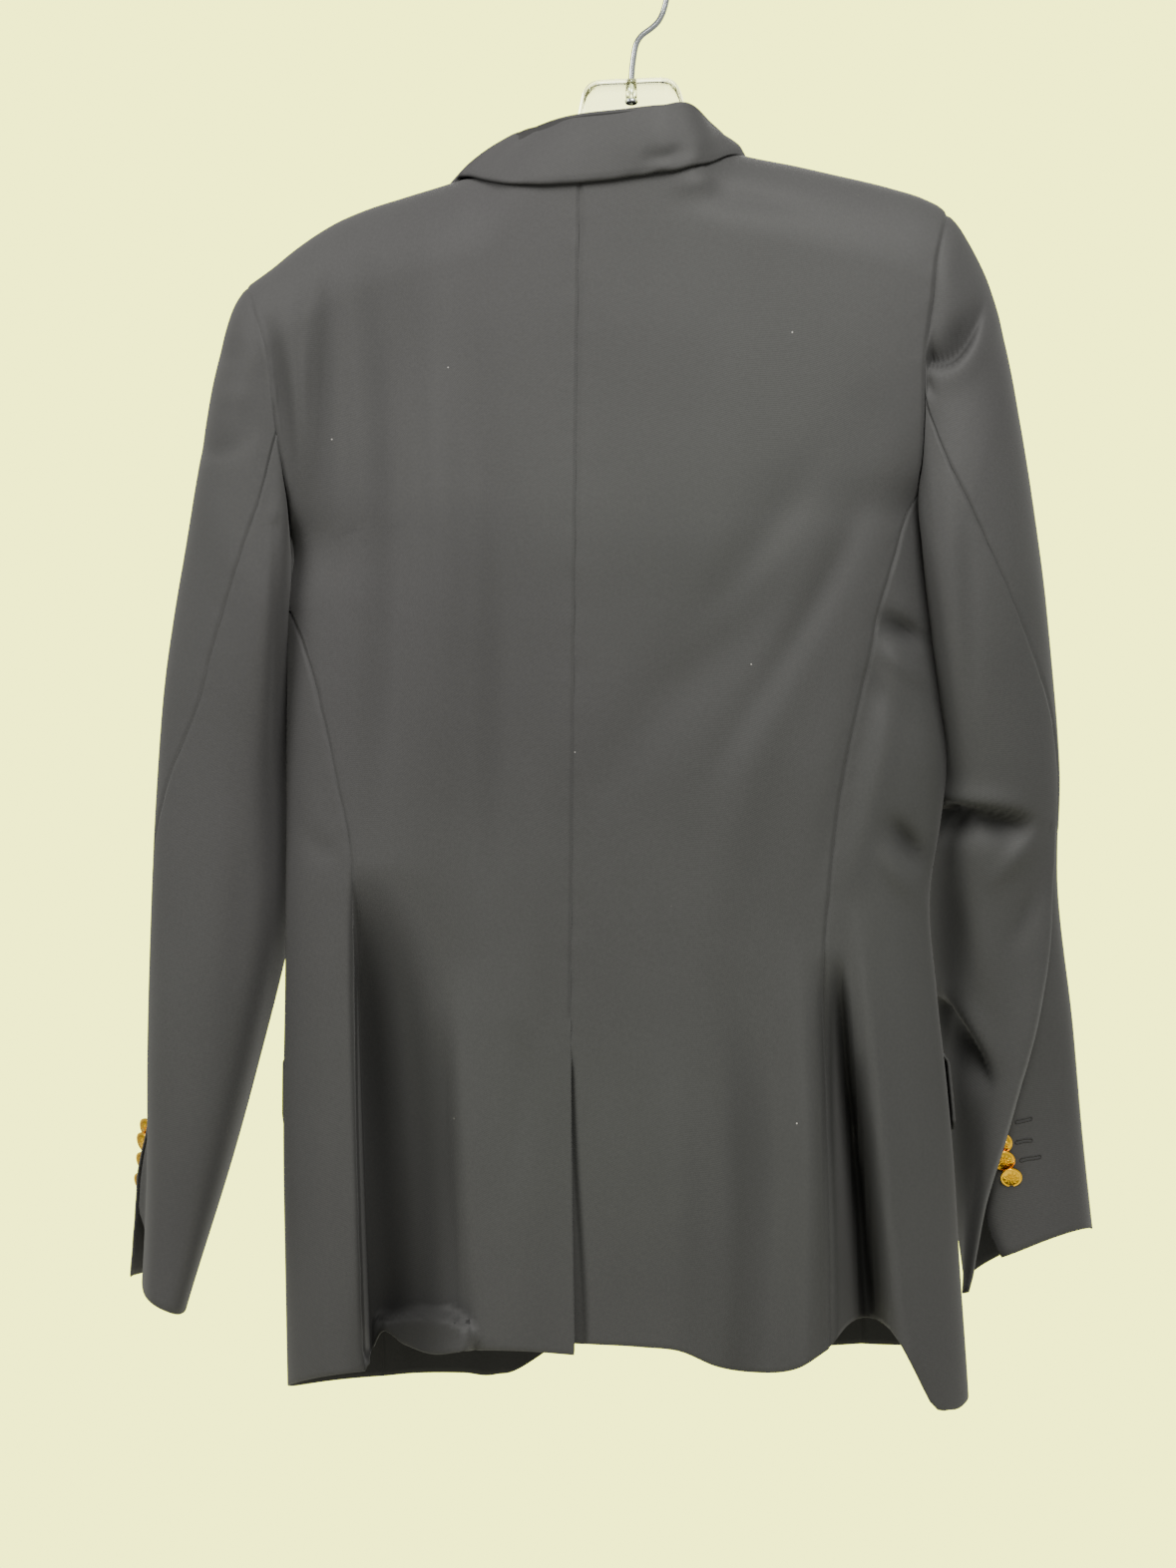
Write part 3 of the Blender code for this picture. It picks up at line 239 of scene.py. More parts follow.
NECK_SEAM = {                  # the top of the back panels under the collar
    "x": (-88, -75, -60, -33, 10, 35, 48, 55),
    "z": (-146.5, -147.5, -147.5, -147, -145, -142, -138, -134.5),
}
CENTRE_BACK = {"z": (-955, -713, -616, -320, -150), "x": (-36.5, -39.3, -38.4, -35.5, -33.5)}
VENT_TOP = -713.0
VENT_UNDERLAP = 38.0           # how far the right back runs on under the left
VENT_STEP = 4.6                # how much deeper the underlap lies
VENT_ROLL = 6.0                # width over which the right back goes down to it
VENT_RUN_OUT = 24.0            # height over which it comes back up at the vent's top
VENT_GAPE = {"z": (-955, -870, -790, -713), "open": (9.5, 8.0, 4.0, 0.6)}
SIDE_BACK_LEFT = {
    "z": (-955, -925, -761, -688, -629, -584, -540, -497, -455, -431, -384),
    "x": (-171, -172, -177, -178, -179, -182.5, -191.6, -201, -212.8, -222, -224),
}
SIDE_BACK_RIGHT = {
    "z": (-955, -909, -760, -639, -619, -554, -513, -468, -428, -395, -373, -357),
    "x": (129, 129, 127.5, 125.8, 127.7, 135, 143, 153.5, 162, 172, 178, 186.5),
}
ARMHOLE_LEFT = {
    "shoulder": (-249.0, -224.5), "underarm": (-221.0, -384.0),
    "back_z": (-384, -361, -332, -305, -271, -247, -224.5),
    "back_x": (-221, -222.5, -227, -231, -235.5, -242, -249),
    "front_z": (-384, -360, -330, -300, -260, -237, -224.5),
    "front_x": (-221, -214, -209, -210, -222, -238, -249),
}
ARMHOLE_RIGHT = {
    "shoulder": (204.5, -177.0), "underarm": (189.0, -366.0),
    "back_z": (-366, -357, -335, -299, -269, -235, -207, -177),
    "back_x": (189, 186.5, 188.5, 190, 190.5, 194.8, 198, 204.5),
    "front_z": (-366, -350, -325, -295, -260, -225, -195, -177),
    "front_x": (189, 185, 179, 176, 177, 183, 194, 204.5),
}
BACK_SPLIT_LEFT, BACK_SPLIT_RIGHT, CENTRE_SPLIT = -384.0, -357.0, -375.0
BACK_HEM = {
    "left":  {"u": (0, .1, .25, .4, .55, .8, 1),
              "z": (-925, -901, -908, -914, -912, -912, -914.5)},
    "right": {"u": (0, .25, .38, .52, .66, .85, 1),
              "z": (-907, -909.5, -912, -922, -925.6, -923, -910)},
}
BROAD_FOLDS = (
    # layer,  x_top, z_top, x_low, z_low, width, depth, at_hem
    ("back",  -125, -560, -150, -930, 27, -15, True),    # hollow beside the left side seam
    ("back",   -72, -590,  -78, -930, 26,   7, True),    # the ridge beside it
    ("back",   138, -610,  149, -930, 13, -26, True),    # deep pleat at the right side seam
    ("back",   108, -640,  112, -930, 16,   4, True),    # swell inside that pleat
    ("back",   190, -700,  196, -950, 14,   5, True),    # roll outside it
    ("back",  -200, -235, -212, -420, 10,  -6, False),   # fold along the left armhole
    ("back",  -178, -200, -172, -560, 15,  -4, False),   # drapes from the left shoulder
    ("back",  -128, -230, -140, -600, 20,   3, False),
    ("back",   138, -330,    8, -520, 26,  -4, False),   # drape across the right shoulder blade
    ("back",    60, -250,   40, -560, 30,   3, False),
    ("back",   176, -440,  188, -470, 12,  -5, False),   # dimples pressed by the right sleeve
    ("back",   180, -570,  186, -600, 12,  -5, False),
    ("front", -110, -600, -125, -930, 26,  -8, True),
    ("front",   88, -610,  104, -930, 24,  -9, True),
    ("front", -150, -240, -140, -520, 18,  -4, False),
    ("front",  120, -230,  112, -500, 18,  -4, False),
)
FOLD_TAPER = 0.7               # how softly a broad fold starts and ends, as a share of its length
HEM_SWELL = 1.5                # how late a fold that runs into the hem reaches its depth
EDGE_FADE = 8                  # how close to the garment's edge the folds die away


def read(table, column, at, key="z"):
    """A smooth curve through a table's rows: cubic pieces with central-difference slopes."""
    knots = np.asarray(table[key], float)
    values = np.asarray(table[column], float)
    at = np.asarray(at, float)
    slopes = np.gradient(values, knots)
    low = np.clip(np.searchsorted(knots, at) - 1, 0, len(knots) - 2)
    span = knots[low + 1] - knots[low]
    t = np.clip((at - knots[low]) / span, 0.0, 1.0)
    rise = (2 * t**3 - 3 * t**2 + 1) * values[low] + (t**3 - 2 * t**2 + t) * span * slopes[low]
    return rise + (3 * t**2 - 2 * t**3) * values[low + 1] + (t**3 - t**2) * span * slopes[low + 1]


def smooth_step(t):
    """A soft step from 0 to 1, three times the square less twice the cube."""
    t = np.clip(t, 0.0, 1.0)
    return t * t * (3 - 2 * t)


def true_place(points):
    """Moves points, in millimetres, along their lines of sight to their true x and z."""
    nearer = points[..., 1:2] / -EYE[1]
    place = points.copy()
    place[..., 0:1] += (points[..., 0:1] - EYE[0]) * nearer
    place[..., 2:3] += (points[..., 2:3] - EYE[2]) * nearer
    return place


def oval_across(angle):
    """How far across a section's outline is at an angle, from -1 to 1; 0 is the mid back."""
    return (np.sin(angle) + SQUARENESS * np.sin(3 * angle)) / (1 - SQUARENESS)


def oval_deep(angle):
    """How deep a section's outline is at an angle, from 1 at the mid back to -1 at the front."""
    return (np.cos(angle) - SQUARENESS * np.cos(3 * angle)) / (1 - SQUARENESS)


QUARTERS = np.linspace(-math.pi / 2, math.pi / 2, 721)
ACROSS = oval_across(QUARTERS)


def angle_at(x, z, layer):
    """The body angle of the point at x on the back or on one of the fronts, at height z."""
    left, right = read(BODY, "left", z), read(BODY, "right", z)
    across = np.clip((x - (left + right) / 2) / ((right - left) / 2), -1.0, 1.0)
    angle = np.interp(across, ACROSS, QUARTERS)
    if layer == "back":
        return angle
    return (-math.pi if layer == "front_left" else math.pi) - angle


def broad_push(x, z, near):
    """The sum of the broad folds that the solids have too: across a bell curve, along a swell."""
    push = np.zeros_like(x)
    for layer, x_top, z_top, x_low, z_low, width, depth, at_hem in BROAD_FOLDS:
        along = (z_top - z) / (z_top - z_low)
        middle = x_top + (x_low - x_top) * along
        if at_hem:
            swell = smooth_step(along) ** HEM_SWELL
        else:
            swell = smooth_step(along / FOLD_TAPER + 0.5)
            swell = swell * smooth_step((1 - along) / FOLD_TAPER + 0.5)
        on_layer = near if layer == "back" else ~near
        push += on_layer * depth * swell * np.exp(-(((x - middle) / width) ** 2))
    return push


def crease_push(x, z, creases):
    """Creases along bent lines: each point of the cloth takes its distance from a crease's line.

    A row is three points of the line, the width on its left and on its right seen down the line,
    the depth, positive outwards, and how full its two ends stay, from 0 to 1. Across it falls as
    a bell curve of its own width on each side, and along it swells as a sine between its ends.
    """
    push = np.zeros_like(x)
    along_line = np.linspace(0, 1, 33)
    for start, middle, end, left, right, depth, top_end, low_end in creases:
        start, middle, end = (np.array(point, float) for point in (start, middle, end))
        bend = 2 * middle - (start + end) / 2
        t = along_line[:, None]
        line = (1 - t) ** 2 * start + 2 * t * (1 - t) * bend + t**2 * end
        reach = 3.2 * max(left, right)
        low, high = line.min(0) - reach, line.max(0) + reach
        box = (x > low[0]) & (x < high[0]) & (z > low[1]) & (z < high[1])
        if not box.any():
            continue
        points = np.stack([x[box], z[box]], -1)
        first, way = line[:-1], np.diff(line, axis=0)
        off = points[:, None] - first[None]
        part = np.clip((off * way).sum(-1) / (way**2).sum(-1), 0, 1)
        gap = off - part[..., None] * way
        distance = np.hypot(gap[..., 0], gap[..., 1])
        best = distance.argmin(1)
        pick = np.arange(len(best))
        side = np.sign(way[best, 0] * off[pick, best, 1] - way[best, 1] * off[pick, best, 0])
        t_at = (best + part[pick, best]) / len(way)
        ends = top_end + (low_end - top_end) * t_at
        swell = np.sin(math.pi * t_at) ** 1.4 * (1 - ends) + ends
        wide = np.where(side > 0, right, left)
        push[box] += depth * swell * np.exp(-((distance[pick, best] / wide) ** 2))
    return push


def ripple(x, z, seed, size, stretch):
    """Slight unevenness of hanging cloth: a dozen waves in seeded ways, long up and down."""
    rng = np.random.default_rng(seed)
    total = np.zeros_like(x)
    for _ in range(12):
        way = rng.uniform(-0.5, 0.5) * math.pi
        length = rng.uniform(0.6, 2.2) * size
        total += rng.uniform(0.4, 1.0) * np.sin(
            (x * math.cos(way) + z * math.sin(way) / stretch) / length + rng.uniform(0, 6.28))
    return total / 12


def shoulder_line(x):
    """The height of the shoulder's ridge above the point at x."""
    return read(SHOULDER, "z", x, key="x")


def below_ridge(x, z):
    """How far below the shoulder's ridge a point lies, 0 on it and 1 where the body is full."""
    return np.clip((shoulder_line(x) - z) / RIDGE_ROUND, 0.0, 1.0)


def body(angle, z):
    """Points of the body's outer face: oval sections whose depth dies away at the shoulder."""
    left, right = read(BODY, "left", z), read(BODY, "right", z)
    x = (left + right) / 2 + (right - left) / 2 * oval_across(angle)
    near = np.cos(angle) > 0
    depth = np.where(near, read(BODY, "back", z), read(BODY, "front", z))
    below = below_ridge(x, z)
    ridge = np.sqrt(1 - (1 - below) ** 2)
    flat = 1 - oval_across(angle) ** EDGE_FADE
    push = broad_push(x, z, near) * flat * smooth_step(below * 1.5)
    return np.stack([x, -depth * oval_deep(angle) * ridge - np.where(near, push, -push), z], -1)


def lower_shares():
    """Shares of the way up to the armhole at which a panel's rows lie, slightly closer below."""
    return np.linspace(0, 1, LOWER_ROWS + 1)[:, None] ** 1.08


def row_heights(bottom, split, top):
    """Heights of a panel's rows: even ones up to the armhole, then closer ones to the top."""
    lower = lower_shares()
    upper = 1 - (1 - np.linspace(0, 1, UPPER_ROWS + 1)[1:, None]) ** 1.6
    return np.concatenate([bottom + (split - bottom) * lower, split + (top - split) * upper])


def settle(u, bottom, split, edges, top):
    """Angles and heights of a panel's points, whose top row lies on a line over x.

    The top row's height and its place across depend on each other, so they are found in rounds.
    """
    line = np.full_like(bottom, -180.0)
    for _ in range(12):
        z = row_heights(bottom, split, line)
        first, last = edges(z)
        angle = first + (last - first) * u
        left, right = read(BODY, "left", z[-1:]), read(BODY, "right", z[-1:])
        line = top((left + right) / 2 + (right - left) / 2 * oval_across(angle[-1:]))
    return angle, z


def columns_of(count):
    """Places across a panel from 0 to 1, gathered towards both edges, where the seams are."""
    u = np.linspace(0, 1, count + 1)
    return (u - GATHER * np.sin(2 * math.pi * u) / (2 * math.pi))[None, :]


def unit(ways):
    """The ways at length one: each divided by its own length."""
    return ways / np.maximum(np.linalg.norm(ways, axis=-1, keepdims=True), 1e-9)


def lengths(points, axis):
    """How far each point of a grid lies from the grid's first row or column, over the cloth."""
    steps = np.linalg.norm(np.diff(points, axis=axis), axis=-1)
    return np.insert(np.cumsum(steps, axis), 0, 0.0, axis)


def grid_normals(points, facing):
    """Normals of a grid of points, on the side that faces away from the points given."""
    normal = unit(np.cross(np.gradient(points, axis=1), np.gradient(points, axis=0)))
    away = ((points - facing) * normal).sum(-1)
    return normal * np.sign(np.median(away))


def quads_of(index):
    """The four corners of each cell of a grid of point numbers."""
    return np.stack([index[:-1, :-1], index[:-1, 1:], index[1:, 1:], index[1:, :-1]], -1)


def shell(name, outer, inner, looks, painted_shading=None, keep=None, lined=None):
    """Closed cloth between two grids of points in millimetres, with a rounded rim.

    The rim's middle row stands out from the edge by part of the cloth's thickness. The UV map
    "cloth" holds each point's way over the cloth in metres. The inner cells where lined is true
    take the second look. The attribute "painted_shading" is each point's painted fold shade,
    negative where a painted highlight is set.
    """
    rows, columns = outer.shape[:2]
    count = rows * columns
    quads = quads_of(np.arange(count).reshape(rows, columns))
    keep = np.ones(quads.shape[:2], bool) if keep is None else keep
    lined = np.zeros(quads.shape[:2], bool) if lined is None else lined
    in_lining = lined[keep]
    quads = quads[keep]
    edges = np.concatenate([quads[:, [k, (k + 1) % 4]] for k in range(4)])
    alone = ~np.isin(edges[:, 0] * count + edges[:, 1], edges[:, 1] * count + edges[:, 0])
    rim = edges[alone]
    flat_outer, flat_inner = outer.reshape(-1, 3), inner.reshape(-1, 3)
    centres = flat_outer[quads].mean(1)
    way = np.zeros_like(flat_outer)
    for corner in range(4):
        np.add.at(way, quads[:, corner], flat_outer[quads[:, corner]] - centres)
    ring = np.unique(rim)
    through = flat_outer[ring] - flat_inner[ring]
    thick = np.linalg.norm(through, axis=-1, keepdims=True)
    way = way[ring] - through * (way[ring] * through).sum(-1, keepdims=True) / thick**2
    middle = (flat_outer[ring] + flat_inner[ring]) / 2 + unit(way) * thick * RIM_ROUND
    at = np.zeros(count, int)
    at[ring] = np.arange(len(ring)) + 2 * count
    a, b = rim[:, 0], rim[:, 1]
    faces = np.concatenate([quads, quads[:, ::-1] + count, np.stack([b, a, at[a], at[b]], -1),
                            np.stack([at[b], at[a], a + count, b + count], -1)])
    look_at = np.zeros(len(faces), int)
    look_at[len(quads):2 * len(quads)] = in_lining
    points = np.concatenate([flat_outer, flat_inner, middle])
    map_at = np.stack([lengths(outer, 1), lengths(outer, 0)], -1).reshape(-1, 2) * MM
    map_at = np.concatenate([map_at, map_at, map_at[ring]])
    shade = np.zeros(count) if painted_shading is None else painted_shading.ravel()
    # painted shade on the inside faces, at least INSIDE_SHADE, except where a painted highlight is
    # set
    inside = np.where(shade < 0, shade, np.maximum(shade, INSIDE_SHADE))
    shade = np.concatenate([shade, inside, shade[ring]])
    used, faces = np.unique(faces, return_inverse=True)
    faces, points, map_at = faces.reshape(-1, 4), points[used], map_at[used]
    first = points[faces[0]]
    facing = np.cross(first[2] - first[0], first[3] - first[1])
    if facing @ through[0] < 0 and facing @ (flat_outer - flat_inner)[quads[0, 0]] < 0:
        faces = faces[:, ::-1]
    return grid_object(name, points * MM, faces, map_at, looks, look_at, shade[used])


def grid_object(name, points, faces, map_at, looks, look_at=None, shade=None):
    """A smooth object at the origin from points in metres and faces, with its UV map."""
    mesh = bpy.data.meshes.new(name)
    mesh.from_pydata(points.tolist(), [], faces.tolist())
    corners = np.zeros(len(mesh.loops), int)
    mesh.loops.foreach_get("vertex_index", corners)
    mesh.uv_layers.new(name="cloth").data.foreach_set("uv", map_at[corners].ravel())
    for look in looks:
        mesh.materials.append(look)
    if look_at is not None:
        mesh.polygons.foreach_set("material_index", look_at)
    if shade is not None:
        # the painted shade of each point, which the worsted group reads
        mesh.attributes.new("painted_shading", "FLOAT", "POINT").data.foreach_set("value", shade)
    mesh.shade_smooth()
    made = bpy.data.objects.new(name, mesh)
    scene.collection.objects.link(made)
    return made


def dressed(piece, slot, *nodes):
    """Says that a piece rides on the garment's body and stands for CAD nodes; the slot is not used.
    """
    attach(piece, "root")
    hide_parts(*nodes)
    return piece


def seam_roll(outer, normal, left=0.0, right=0.0, low=0.0, top=0.0, width=1.7, pucker=0.0, seed=1):
    """The outer face drawn in along its edges, where it turns into a seam, with small puckers."""
    across, along = lengths(outer, 1), lengths(outer, 0)
    drop = (left * np.exp(-(across / width) ** 2)
            + right * np.exp(-((across[:, -1:] - across) / width) ** 2)
            + low * np.exp(-(along / width) ** 2)
            + top * np.exp(-((along[-1:] - along) / width) ** 2))
    if np.any(pucker):
        near = np.minimum(across, across[:, -1:] - across)
        drop = drop + pucker * np.exp(-near / 7.0) * (
            np.sin(along / 4.1 + seed) * np.sin(along / 11.3 + 2 * seed)
            + 0.6 * np.sin(along / 7.7 + 3 * seed))
    return outer - normal * drop[..., None]


WOOL_THICK = 1.3
LINED_THICK = 2.2
RIM_ROUND = 0.4                # how far an edge bulges, as a share of the cloth's thickness
INSIDE_SHADE = 0.6             # painted shade on the cloth's inside faces
TURN_UP = 36.0                 # the wool turned up inside the hem, below the lining
LINING_JUMP = 1.2              # the fold of spare lining above it
LINING_FROM_EDGE = 4.0         # width from a seam over which the lining's thickness is reached


def lined_shell(name, outer, normal, painted_shading=None, keep=None, faced_columns=None):
    """A shell with a satin lining inside, above the wool turned up at its hem."""
    up = lengths(outer, 0)
    above = smooth_step((up - TURN_UP) / 5.0)
    jump = LINING_JUMP * np.exp(-(((up - TURN_UP - 7) / 6.0) ** 2))
    across = lengths(outer, 1)
    inside = smooth_step(np.minimum(across, across[:, -1:] - across) / LINING_FROM_EDGE)
    thick = WOOL_THICK + ((LINED_THICK - WOOL_THICK) * above + jump) * inside
    inner = outer - normal * thick[..., None]
    lined = (up[:-1, :-1] > TURN_UP) & np.ones_like(outer[:-1, :-1, 0], bool)
    if faced_columns is not None:
        lined &= ~faced_columns[:-1, :-1]
    return shell(name, true_place(outer), true_place(inner), (wool, lining), painted_shading, keep, lined)


def side_or_armhole(seam, armhole, side, layer, split):
    """The outer edge of a back or front: the side seam, and the armhole above its split."""
    rows = {"z": armhole[side + "_z"], "x": armhole[side + "_x"]}

    def angle(z):
        """The angle of the edge at a height, from the armhole's row above the split."""
        on_seam = angle_at(read(seam, "x", z), z, layer)
        return np.where(z >= split - 1e-6, angle_at(read(rows, "x", z), z, layer), on_seam)
    return angle


def neck_line(x):
    """The top of the back panels: the shoulder line, and the neck seam between."""
    in_neck = (x > NECK_SEAM["x"][0]) & (x < NECK_SEAM["x"][-1])
    return np.where(in_neck, read(NECK_SEAM, "z", x, key="x"), shoulder_line(x))


def centre_back(z):
    """The angle of the centre-back seam at a height."""
    return angle_at(read(CENTRE_BACK, "x", z), z, "back")


def vent_step(x, z):
    """How much deeper the right back lies where the left laps over it, below the vent's top."""
    open_to = read(CENTRE_BACK, "x", z) + read(VENT_GAPE, "open", z)
    across = smooth_step((open_to - x) / VENT_ROLL + 0.5)
    return VENT_STEP * across * smooth_step((VENT_TOP - z) / VENT_RUN_OUT)


# Creases of the back of the garment and of its front, finer than the broad folds.
NEAR_CREASES = (
    # start, middle, end of its line, width left, right, depth, how full at its top, at its end
    # the left shoulder blade and the drapes below it
    ((-239, -232), (-225, -300), (-215, -410), 6, 8, -8.5, 0.2, 0.0),
    ((-222, -240), (-214, -330), (-212, -430), 7, 9, 3.0, 0.0, 0.0),
    ((-203, -205), (-196, -350), (-200, -560), 8, 9, -1.8, 0.0, 0.0),
    ((-186, -200), (-180, -360), (-184, -560), 9, 11, 3.2, 0.1, 0.0),
    ((-164, -200), (-156, -400), (-158, -640), 10, 12, -3.2, 0.2, 0.0),
    ((-138, -200), (-128, -400), (-126, -660), 14, 16, 3.4, 0.2, 0.0),
    ((-104, -240), (-94, -480), (-98, -700), 14, 17, -3.4, 0.0, 0.0),
    ((-70, -520), (-62, -620), (-74, -740), 9, 14, 1.8, 0.0, 0.0),
    # the hollow beside the left side seam, its ridge and the creases in it
    ((-178, -600), (-174, -740), (-168, -912), 4, 31, -28.0, 0.0, 1.0),
    ((-150, -640), (-136, -760), (-134, -905), 6, 9, -3.5, 0.0, 0.7),
    ((-120, -690), (-117, -790), (-111, -900), 12, 3.5, -4.5, 0.0, 0.6),
    ((-112, -660), (-108, -800), (-100, -905), 4, 16, 7.0, 0.0, 0.8),
    ((-84, -700), (-70, -740), (-82, -830), 7, 8, -1.8, 0.0, 0.0),
    ((-196, -620), (-200, -760), (-203, -920), 9, 10, 2.6, 0.0, 0.8),
    # below the collar on the right
    ((36, -158), (78, -150), (126, -161), 5, 8, 3.6, 0.2, 0.0),
    ((30, -170), (80, -168), (128, -178), 7, 7, -3.0, 0.1, 0.0),
    # long drapes from the right armhole towards the waist
    ((150, -300), (96, -400), (14, -480), 13, 16, 3.4, 0.0, 0.0),
    ((160, -340), (112, -440), (40, -560), 10, 11, -3.4, 0.0, 0.0),
    ((130, -400), (78, -530), (48, -700), 16, 18, 3.0, 0.0, 0.0),
    ((172, -380), (150, -500), (112, -640), 9, 12, -2.6, 0.0, 0.0),
    ((176, -430), (160, -540), (138, -620), 8, 9, 2.6, 0.0, 0.0),
    ((62, -660), (76, -800), (70, -925), 14, 20, -5.0, 0.0, 0.8),
    ((20, -700), (30, -820), (26, -925), 13, 14, 4.0, 0.0, 0.7),
    # the deep pleat at the right side seam: its ridge, its floor and the roll outside it
    ((106, -640), (114, -780), (113, -920), 9, 8, 3.6, 0.0, 0.8),
    ((128, -650), (131, -760), (134, -905), 2.5, 3, 3.5, 0.0, 0.7),
    ((122, -660), (124, -760), (126, -905), 2.5, 3, -3.0, 0.0, 0.6),
    ((134, -655), (145, -775), (162, -902), 12, 3.2, -38.0, 0.0, 1.0),
    ((139, -720), (146, -820), (150, -905), 9, 9, -22.0, 0.0, 1.0),
    ((145, -620), (159, -770), (178, -920), 3.5, 13, 9.0, 0.0, 1.0),
    ((176, -600), (190, -720), (198, -900), 6, 9, -3.0, 0.0, 0.4),
    # dimples where the right sleeve presses, and at the waist
    ((158, -436), (180, -448), (200, -452), 5, 6, -13.0, 0.0, 0.8),
    ((158, -452), (178, -470), (197, -480), 6, 7, 6.0, 0.0, 0.6),
    ((150, -468), (174, -500), (193, -522), 8, 7, -3.0, 0.0, 0.5),
    ((166, -566), (184, -588), (201, -600), 7, 5, -15.0, 0.0, 0.9),
    ((158, -584), (178, -610), (199, -630), 7, 8, 7.0, 0.0, 0.5),
    ((-222, -560), (-205, -585), (-186, -590), 7, 7, -2.4, 0.4, 0.0),
)
FAR_CREASES = (
    ((-190, -250), (-160, -330), (-120, -420), 10, 12, -2.6, 0.0, 0.0),
    ((150, -230), (130, -320), (96, -420), 10, 12, -2.6, 0.0, 0.0),
    ((-175, -420), (-120, -470), (-40, -520), 11, 9, 2.4, 0.0, 0.0),
    ((140, -420), (100, -465), (30, -520), 9, 11, 2.2, 0.0, 0.0),
    ((-150, -560), (-138, -720), (-150, -925), 12, 12, 2.6, 0.0, 0.8),
    ((-100, -640), (-84, -780), (-92, -925), 10, 12, -3.0, 0.0, 0.9),
    ((120, -600), (128, -760), (124, -925), 10, 12, 2.6, 0.0, 0.8),
    ((80, -650), (66, -780), (70, -925), 11, 11, -2.4, 0.0, 0.8),
    ((-60, -600), (-40, -640), (-6, -650), 8, 8, -1.6, 0.0, 0.2),
)
UNEVEN = 0.9                   # height of the cloth's slight unevenness
SHADOW_FROM, SHADOW_DEPTH = 1.5, 11.0    # where a fold begins to take painted shade, and how fast it deepens
LAP_SHADOW = 1.6               # how much more painted shade a lapped step takes than a fold as deep


def painted_shade_of(depth):
    """How much painted shade a fold's depth gives, 1 less a falling exponential; depth is negative
    inwards.
    """
    return 1 - np.exp(-np.maximum(-depth - SHADOW_FROM, 0.0) / SHADOW_DEPTH)


def cloth_points(angle, z, step=None):
    """The body's points with the creases, the unevenness and, where one panel laps, its step.

    The second grid is each point's painted shade, from how deep it lies in a fold.
    """
    points = body(angle, z)
    x = points[..., 0]
    near = np.cos(angle) > 0
    calm = (1 - oval_across(angle) ** EDGE_FADE) * smooth_step(below_ridge(x, z) * 1.5)
    push = np.where(near, crease_push(x, z, NEAR_CREASES), crease_push(x, z, FAR_CREASES))
    depth = (push + broad_push(x, z, near)) * calm
    push = push + UNEVEN * np.where(near, ripple(x, z, seed=3, size=26, stretch=3.2),
                                    ripple(x, z, seed=4, size=30, stretch=3.0))
    push = push * calm
    if step is not None:
        push = push - step(x, z)
        # painted shade along the lapped step
        depth = depth - np.maximum(step(x, z), 0.0) * LAP_SHADOW
    points[..., 1] -= np.where(near, push, -push)
    return points, painted_shade_of(depth)


LIP_MIDDLE, LIP_HALF, LIP_DEPTH, LIP_FOLD_Z = -134.0, 30.0, 17.0, -888.0
BODY_MIDDLE = np.array([-30.0, 0.0, -500.0])


def hem_lip(x, z):
    """Below the deep left fold, the hem comes forward again under a short level fold; negative is
    outwards.
    """
    window = smooth_step((LIP_HALF - np.abs(x - LIP_MIDDLE)) / 9 + 0.5)
    right, left = (np.clip(way * (x - LIP_MIDDLE) / LIP_HALF, 0, 1) for way in (1, -1))
    fold_at = LIP_FOLD_Z - 10 * right**3 - 4 * left**2
    return -LIP_DEPTH * window * smooth_step((fold_at - z) / 6 + 0.5)


u = columns_of(BACK_COLUMNS)
left_edge = side_or_armhole(SIDE_BACK_LEFT, ARMHOLE_LEFT, "back", "back", BACK_SPLIT_LEFT)
angle, z = settle(u, read(BACK_HEM["left"], "z", u, key="u"),
                  BACK_SPLIT_LEFT + (CENTRE_SPLIT - BACK_SPLIT_LEFT) * u,
                  lambda z: (left_edge(z), centre_back(z)), neck_line)
outer, painted_shading = cloth_points(angle, z, hem_lip)
armhole_edge = {"back_left": outer[LOWER_ROWS:, 0]}
normal = grid_normals(outer, BODY_MIDDLE)
sewn = smooth_step((z[:, :1] - VENT_TOP) / 8)
outer = seam_roll(outer, normal, left=1.1, right=1.0 * sewn, pucker=0.22 * sewn, seed=2)
back_left = lined_shell("back_left_cloth", outer, normal, painted_shading)
dressed(back_left, "wool", "back_left")

right_edge = side_or_armhole(SIDE_BACK_RIGHT, ARMHOLE_RIGHT, "back", "back", BACK_SPLIT_RIGHT)
angle, z = settle(u, read(BACK_HEM["right"], "z", u, key="u"),
                  CENTRE_SPLIT + (BACK_SPLIT_RIGHT - CENTRE_SPLIT) * u,
                  lambda z: (centre_back(z), right_edge(z)), neck_line)
lap = np.linspace(-1, 0, LAP_COLUMNS + 1)[:-1]
travel = body(angle[:, :1] + 1e-3, z[:, :1]) - body(angle[:, :1], z[:, :1])
lap_angle = angle[:, :1] + lap * VENT_UNDERLAP * 1e-3 / np.linalg.norm(travel, axis=-1)
angle = np.concatenate([lap_angle, angle], 1)
z = np.concatenate([np.repeat(z[:, :1], LAP_COLUMNS, 1), z], 1)
keep = np.ones((z.shape[0] - 1, z.shape[1] - 1), bool)
keep[:, :LAP_COLUMNS] = z[1:, :1] < VENT_TOP - VENT_RUN_OUT
outer, painted_shading = cloth_points(angle, z, vent_step)
armhole_edge["back_right"] = outer[LOWER_ROWS:, -1]
normal = grid_normals(outer, BODY_MIDDLE)
sewn = smooth_step((z[:, :1] - VENT_TOP) / 8)
rolled = seam_roll(outer[:, LAP_COLUMNS:], normal[:, LAP_COLUMNS:],
                   left=1.0 * sewn, right=1.1, pucker=0.22 * sewn, seed=5)
outer = np.concatenate([outer[:, :LAP_COLUMNS], rolled], 1)
back_right = lined_shell("back_right_cloth", outer, normal, painted_shading, keep=keep)
dressed(back_right, "wool", "back_right")


